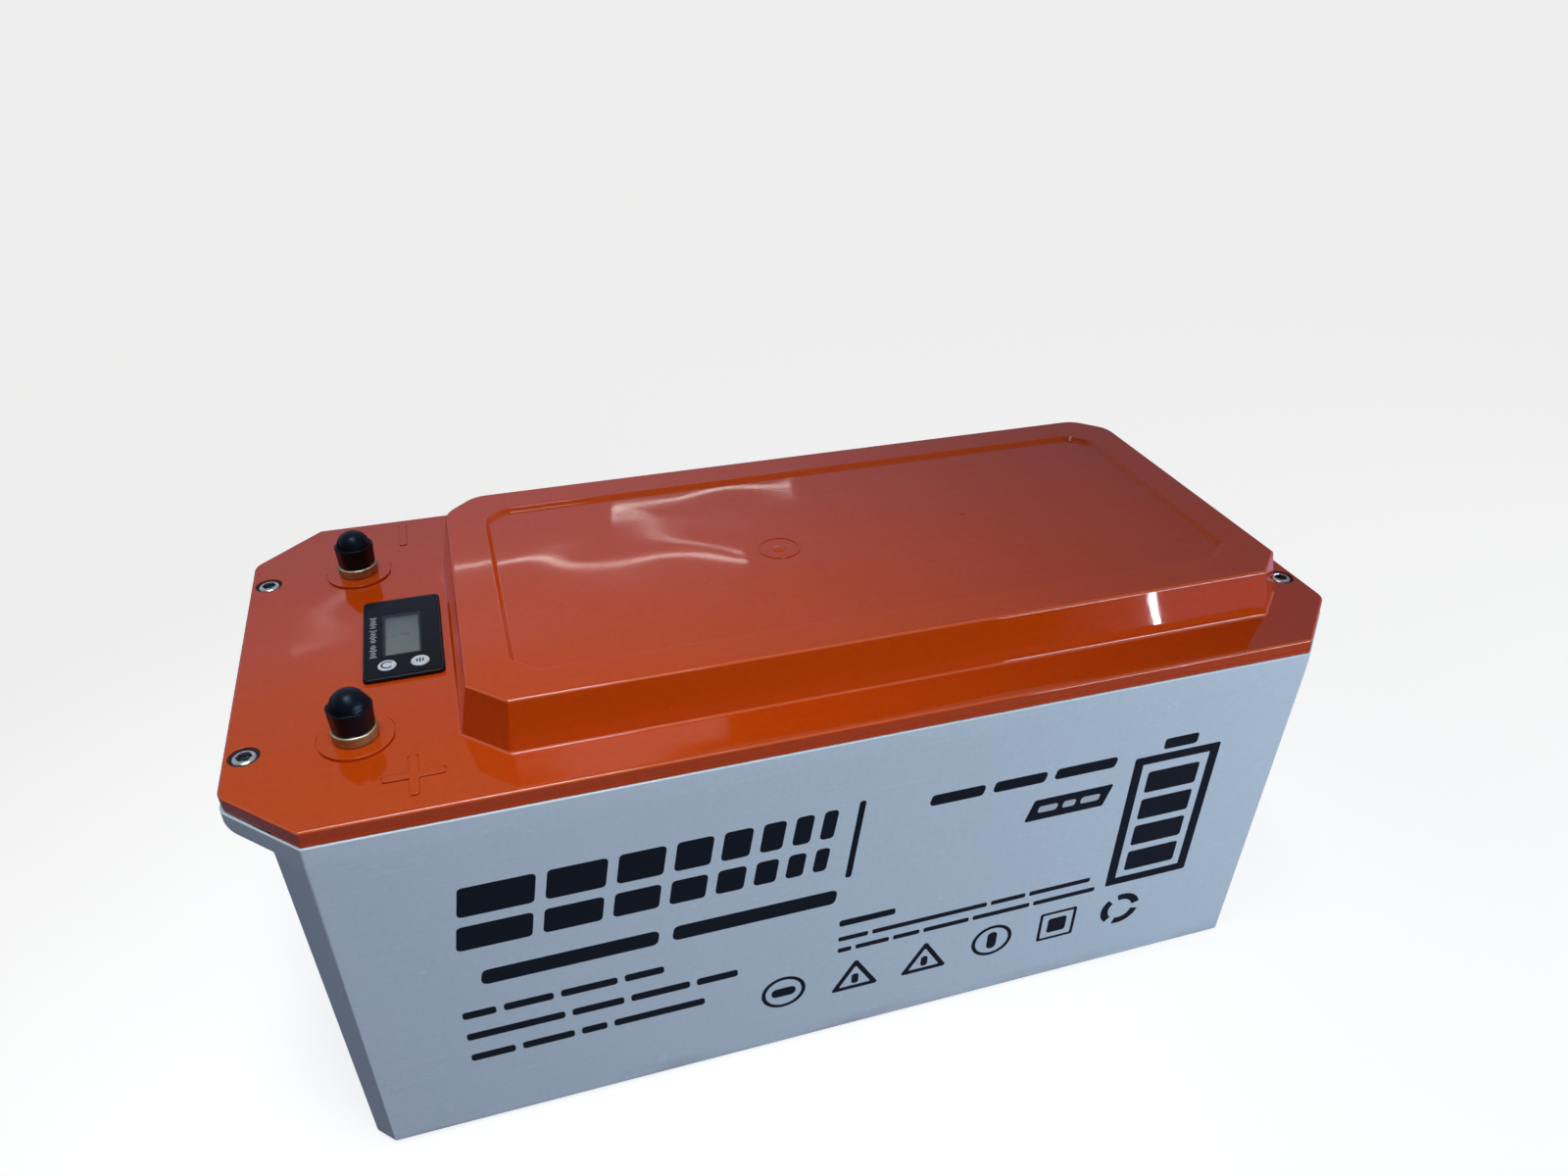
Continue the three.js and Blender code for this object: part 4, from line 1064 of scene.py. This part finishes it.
def charge_symbol():
    """An upright cell outline with four charge bars."""
    x, base, top, half, thick, joint = 160, 60, 146, 23, 5, 0.5
    left, right = x - half, x + half
    sides = [bar(left, left + thick, base, top, 1.2), bar(right - thick, right, base, top, 1.2)]
    inner_left, inner_right = left + thick - joint, right - thick + joint
    ends = [bar(inner_left, inner_right, z, z + thick, 0.2) for z in (base, top - thick)]
    knob = bar(x - 9, x + 9, top + 2.5, top + 9, 1.5)
    margin, pitch, height = 9, 17.7, 13.5
    bases = [base + margin + pitch * i for i in range(4)]
    levels = [bar(left + margin, right - margin, z, z + height, 1.5) for z in bases]
    return sides + ends + [knob] + levels


def pictograms():
    """A row of plain round, three-sided and square signs."""
    first, pitch, z, radius = -32.5, 36.4, 40, 11
    at = [first + pitch * i for i in range(6)]
    outlines = [front_ring(at[0], z, radius, 2), bar(at[0] - 6, at[0] + 6, z - 3, z + 3, 2.4)]
    for x in at[1:3]:
        outlines += polygon_ring(x, z - 3, 3, 14.5, 5, 90)
        outlines.append(bar(x - 1.8, x + 1.8, z - 6.5, z + 0.5, 1.5))
    outlines += [front_ring(at[3], z, radius, 2), bar(at[3] - 2.6, at[3] + 2.6, z - 6, z + 6, 2.4)]
    outlines += polygon_ring(at[4], z, 4, 14.5, 2.4, 45)
    outlines.append(bar(at[4] - 5.2, at[4] + 5.2, z - 5.2, z + 5.2, 1.5))
    outlines += [front_ring(at[5], z, radius, 4.2, start, start + 92) for start in (14, 134, 254)]
    return outlines


def build_front_print():
    """Bars and blocks for lines of print: each line's left, right, middle height, size and words."""
    print_piece("print_stripe_band", stripe_band())
    print_piece("print_second_line", word_bars(-167, -9, 99, 9, (7, 7), 1.5))
    small = word_bars(-177, -89, 77, 4.6, (4, 6, 7, 5))
    small += word_bars(-177, -55, 62.5, 4.6, (11, 6, 7, 5))
    small += word_bars(-177, -71, 48, 4.6, (5, 6, 3, 11))
    print_piece("print_small_lines", small)
    print_piece("print_rating_line", word_bars(33, 126, 147, 6.4, (5, 5, 6), 1.5))
    print_piece("print_badge", [bar(83, 124, 120, 133, 1, 4)])
    print_piece("print_badge_bars", word_bars(89, 121, 126.5, 4, (3, 2, 3), 1), WHITE_INK, 0.09)
    notes = word_bars(-6, 22, 79.5, 4.2, (7,))
    notes += word_bars(-6, 127, 68.5, 3, (4, 16, 5, 9))
    notes += word_bars(-6, 131, 60.5, 3, (2, 5, 4, 7, 9, 10))
    print_piece("print_note_lines", notes)
    print_piece("print_charge_symbol", charge_symbol())
    print_piece("print_pictograms", pictograms())


# ---- materials of the CAD nodes that stay
def dress_cad_nodes():
    """Every CAD node that still shows gets the first look with a part of its name."""
    red = coating("cable_red_silicone", (0.4, 0.012, 0.01, 1), 0.42, 500, 0.00002)
    black = coating("cable_black_silicone", (0.012, 0.012, 0.014, 1), 0.45, 500, 0.00002)
    board = coating("insulation_board_yellow", (0.5, 0.4, 0.14, 1), 0.55, 900, 0.00004)
    wrap = coating("cell_film_blue", (0.015, 0.085, 0.34, 1), 0.25, 60, 0.0001)
    looks = {
        circuit_green(): ["circuit_board"],
        board: ["cell_separator", "end_plate", "top_insulation"],
        wrap: ["cell_"],
        woven("strap_green_polyester", (0.02, 0.14, 0.06, 1), 900): ["pack_strap"],
        ALUMINIUM: ["busbar", "heat_sink"],
        FOAM: ["foam", "floor_pad"],
        red: ["positive_cable", "meter_lead"],
        black: ["negative_cable", "balance_lead"],
        RUBBER: ["gasket", "seal"],
        BRASS: ["insert", "nut"],
        clear_window(): ["meter_window"],
        lcd_glass(): ["meter_lcd"],
    }
    for name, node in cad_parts.items():
        material = next((look for look, parts in looks.items() if any(part in name for part in parts)), None)
        if material is not None:
            node.data.materials.clear()
            node.data.materials.append(material)


# ---- floor, light and camera, in metres and degrees
def build_floor():
    """A pale sheet that glows a little, so that it stays pale beyond the lamps' reach."""
    reach = 30 / MM
    corners = [(-reach, -reach, 0), (reach, -reach, 0), (reach, reach, 0), (-reach, reach, 0)]
    floor = make_object("studio_floor", corners, [[0, 1, 2, 3]])
    look = Look("pale_floor")
    look.colour(look.mottled((0.5, 0.48, 0.45, 1), 0.99, 1.01, 2))
    look.roughness(look.remap(look.noise(3, 2), 0.2, 0.8, 0.85, 0.95))
    look.set("Specular IOR Level", 0.0)
    look.set("Emission Color", (1, 1, 1, 1))
    look.set("Emission Strength", 0.74)
    floor.data.materials.append(look.material)
    floor.visible_glossy = False
    floor.visible_diffuse = False


def hold_lamp(name, lamp, place, aim, power, colour, roll=0):
    """Puts a lamp at a place, turns it to face a point and rolls it."""
    lamp.energy = power
    lamp.color = colour
    holder = bpy.data.objects.new(name, lamp)
    holder.location = place
    holder.rotation_mode = "QUATERNION"
    facing = (Vector(aim) - Vector(place)).to_track_quat("-Z", "Y")
    holder.rotation_quaternion = facing @ Quaternion((0, 0, 1), math.radians(roll))
    bpy.context.scene.collection.objects.link(holder)


def area_light(name, place, aim, size, power, colour, roll=0, spread=180):
    """A rectangular lamp. A small spread keeps its light to a narrow beam."""
    lamp = bpy.data.lights.new(name, "AREA")
    lamp.shape = "RECTANGLE"
    lamp.size, lamp.size_y = size
    lamp.spread = math.radians(spread)
    hold_lamp(name, lamp, place, aim, power, colour, roll)


def soft_spot(name, place, aim, cone, radius, power, colour):
    lamp = bpy.data.lights.new(name, "SPOT")
    lamp.spot_size = math.radians(cone)
    lamp.spot_blend = 1.0
    lamp.shadow_soft_size = radius
    hold_lamp(name, lamp, place, aim, power, colour)


class Sky(Nodes):
    """The studio's surroundings, coloured by direction."""

    def __init__(self):
        world = bpy.data.worlds.new("studio")
        bpy.context.scene.world = world
        world.use_nodes = True
        super().__init__(world.node_tree)
        self.direction = self.add("TexCoord", {}).outputs["Generated"]

    def step(self, axis, low, high):
        """0 below low and 1 above high along one axis of the direction."""
        return self.remap(self.coordinate(self.direction, axis), low, high, ramp="SMOOTHSTEP")


def build_world():
    """A dim room: a wall behind that darkens to the right, and a lilac stretch low at the right."""
    sky = Sky()
    wall = sky.blend(sky.step("X", 0.1, 0.55), (0.37, 0.39, 0.56, 1), (0.19, 0.2, 0.28, 1))
    behind = sky.blend(sky.step("Z", 0.49, 0.62), wall, (0.31, 0.3, 0.26, 1))
    above = sky.blend(sky.step("Y", -0.15, 0.1), (0.125, 0.135, 0.145, 1), behind)
    side = sky.blend(sky.step("X", 0.46, 0.56), (0.008, 0.008, 0.01, 1), (0.42, 0.26, 0.5, 1))
    below = sky.blend(sky.step("Z", -0.5, -0.42), (0.13, 0.16, 0.26, 1), side)
    whole = sky.blend(sky.step("Z", -0.04, 0.02), below, above)
    sky.feed(whole, sky.tree.nodes["Background"].inputs["Color"])


COOL = (0.8, 0.9, 1.0)
WARM = (1.0, 0.93, 0.9)
BLUE = (0.72, 0.86, 1.0)
LILAC = (0.92, 0.9, 1.0)


def build_lights():
    """Soft lamps above and in front, and thin ones behind and low at the right that draw bright lines.

    Each has its place, the point that it faces, its size, its power and its colour.
    """
    soft_spot("overhead_soft", (-0.2, -0.2, 1.25), (-0.15, -0.13, 0.2), 42, 0.22, 29, COOL)
    high, in_front, at_right = (0.0, -0.69, 1.25), (0.82, -0.86, 0.25), (0.519, -0.672, 0.07)
    area_light("front_high_soft", high, (-0.14, -0.1, 0.2), (0.34, 0.12), 0.047, WARM, spread=40)
    area_light("front_right_soft", in_front, (0.1, -0.12, 0.14), (0.75, 0.16), 6.9, BLUE)
    area_light("low_strip", at_right, (0.148, -0.093, 0.21), (0.007, 0.1), 0.12, LILAC)
    behind = 1.57
    area_light("back_strip", (0.09, behind, 1.117), (-0.09, 0.013, 0.218), (0.6, 0.009), 0.085, WARM, -4)
    area_light("far_strip", (0.31, behind, 1.017), (0.0, 0.06, 0.218), (0.37, 0.008), 0.048, WARM, 10)
    area_light("loop_strip", (0.26, behind, 1.082), (-0.04, 0.02, 0.218), (0.27, 0.004), 0.017, WARM, -13)
    area_light("left_strip", (-0.435, behind, 1.117), (-0.21, 0.02, 0.198), (0.15, 0.016), 0.005, WARM, 18)


def build_camera():
    """Looks down at the front, from a little left of the middle. Its angles are in radians."""
    place, yaw, pitch, roll = (-0.1411, -0.4635, 0.4908), -0.2997, -0.5504, 0.0052
    level_part = math.cos(pitch)
    forward = Vector((-math.sin(yaw) * level_part, math.cos(yaw) * level_part, math.sin(pitch)))
    level = Vector((math.cos(yaw), math.sin(yaw), 0))
    upright = level.cross(forward)
    right = math.cos(roll) * level + math.sin(roll) * upright
    above = math.cos(roll) * upright - math.sin(roll) * level
    data = bpy.data.cameras.new("camera")
    data.sensor_width = 36
    data.lens = 26.26
    camera = bpy.data.objects.new("camera", data)
    turn = Matrix((right, above, -forward)).transposed()
    camera.matrix_world = Matrix.Translation(place) @ turn.to_4x4()
    bpy.context.scene.collection.objects.link(camera)
    bpy.context.scene.camera = camera


bpy.context.scene.view_settings.view_transform = "Standard"
build_camera()
build_world()
build_lights()
build_floor()

build_case()
build_lid()
for screw_name in SCREWS:
    build_lid_screw(screw_name)
for pole_name in POLES:
    build_terminal(pole_name)
    build_terminal_bolt(pole_name)
    build_cap(pole_name)
build_meter()
build_front_print()
dress_cad_nodes()
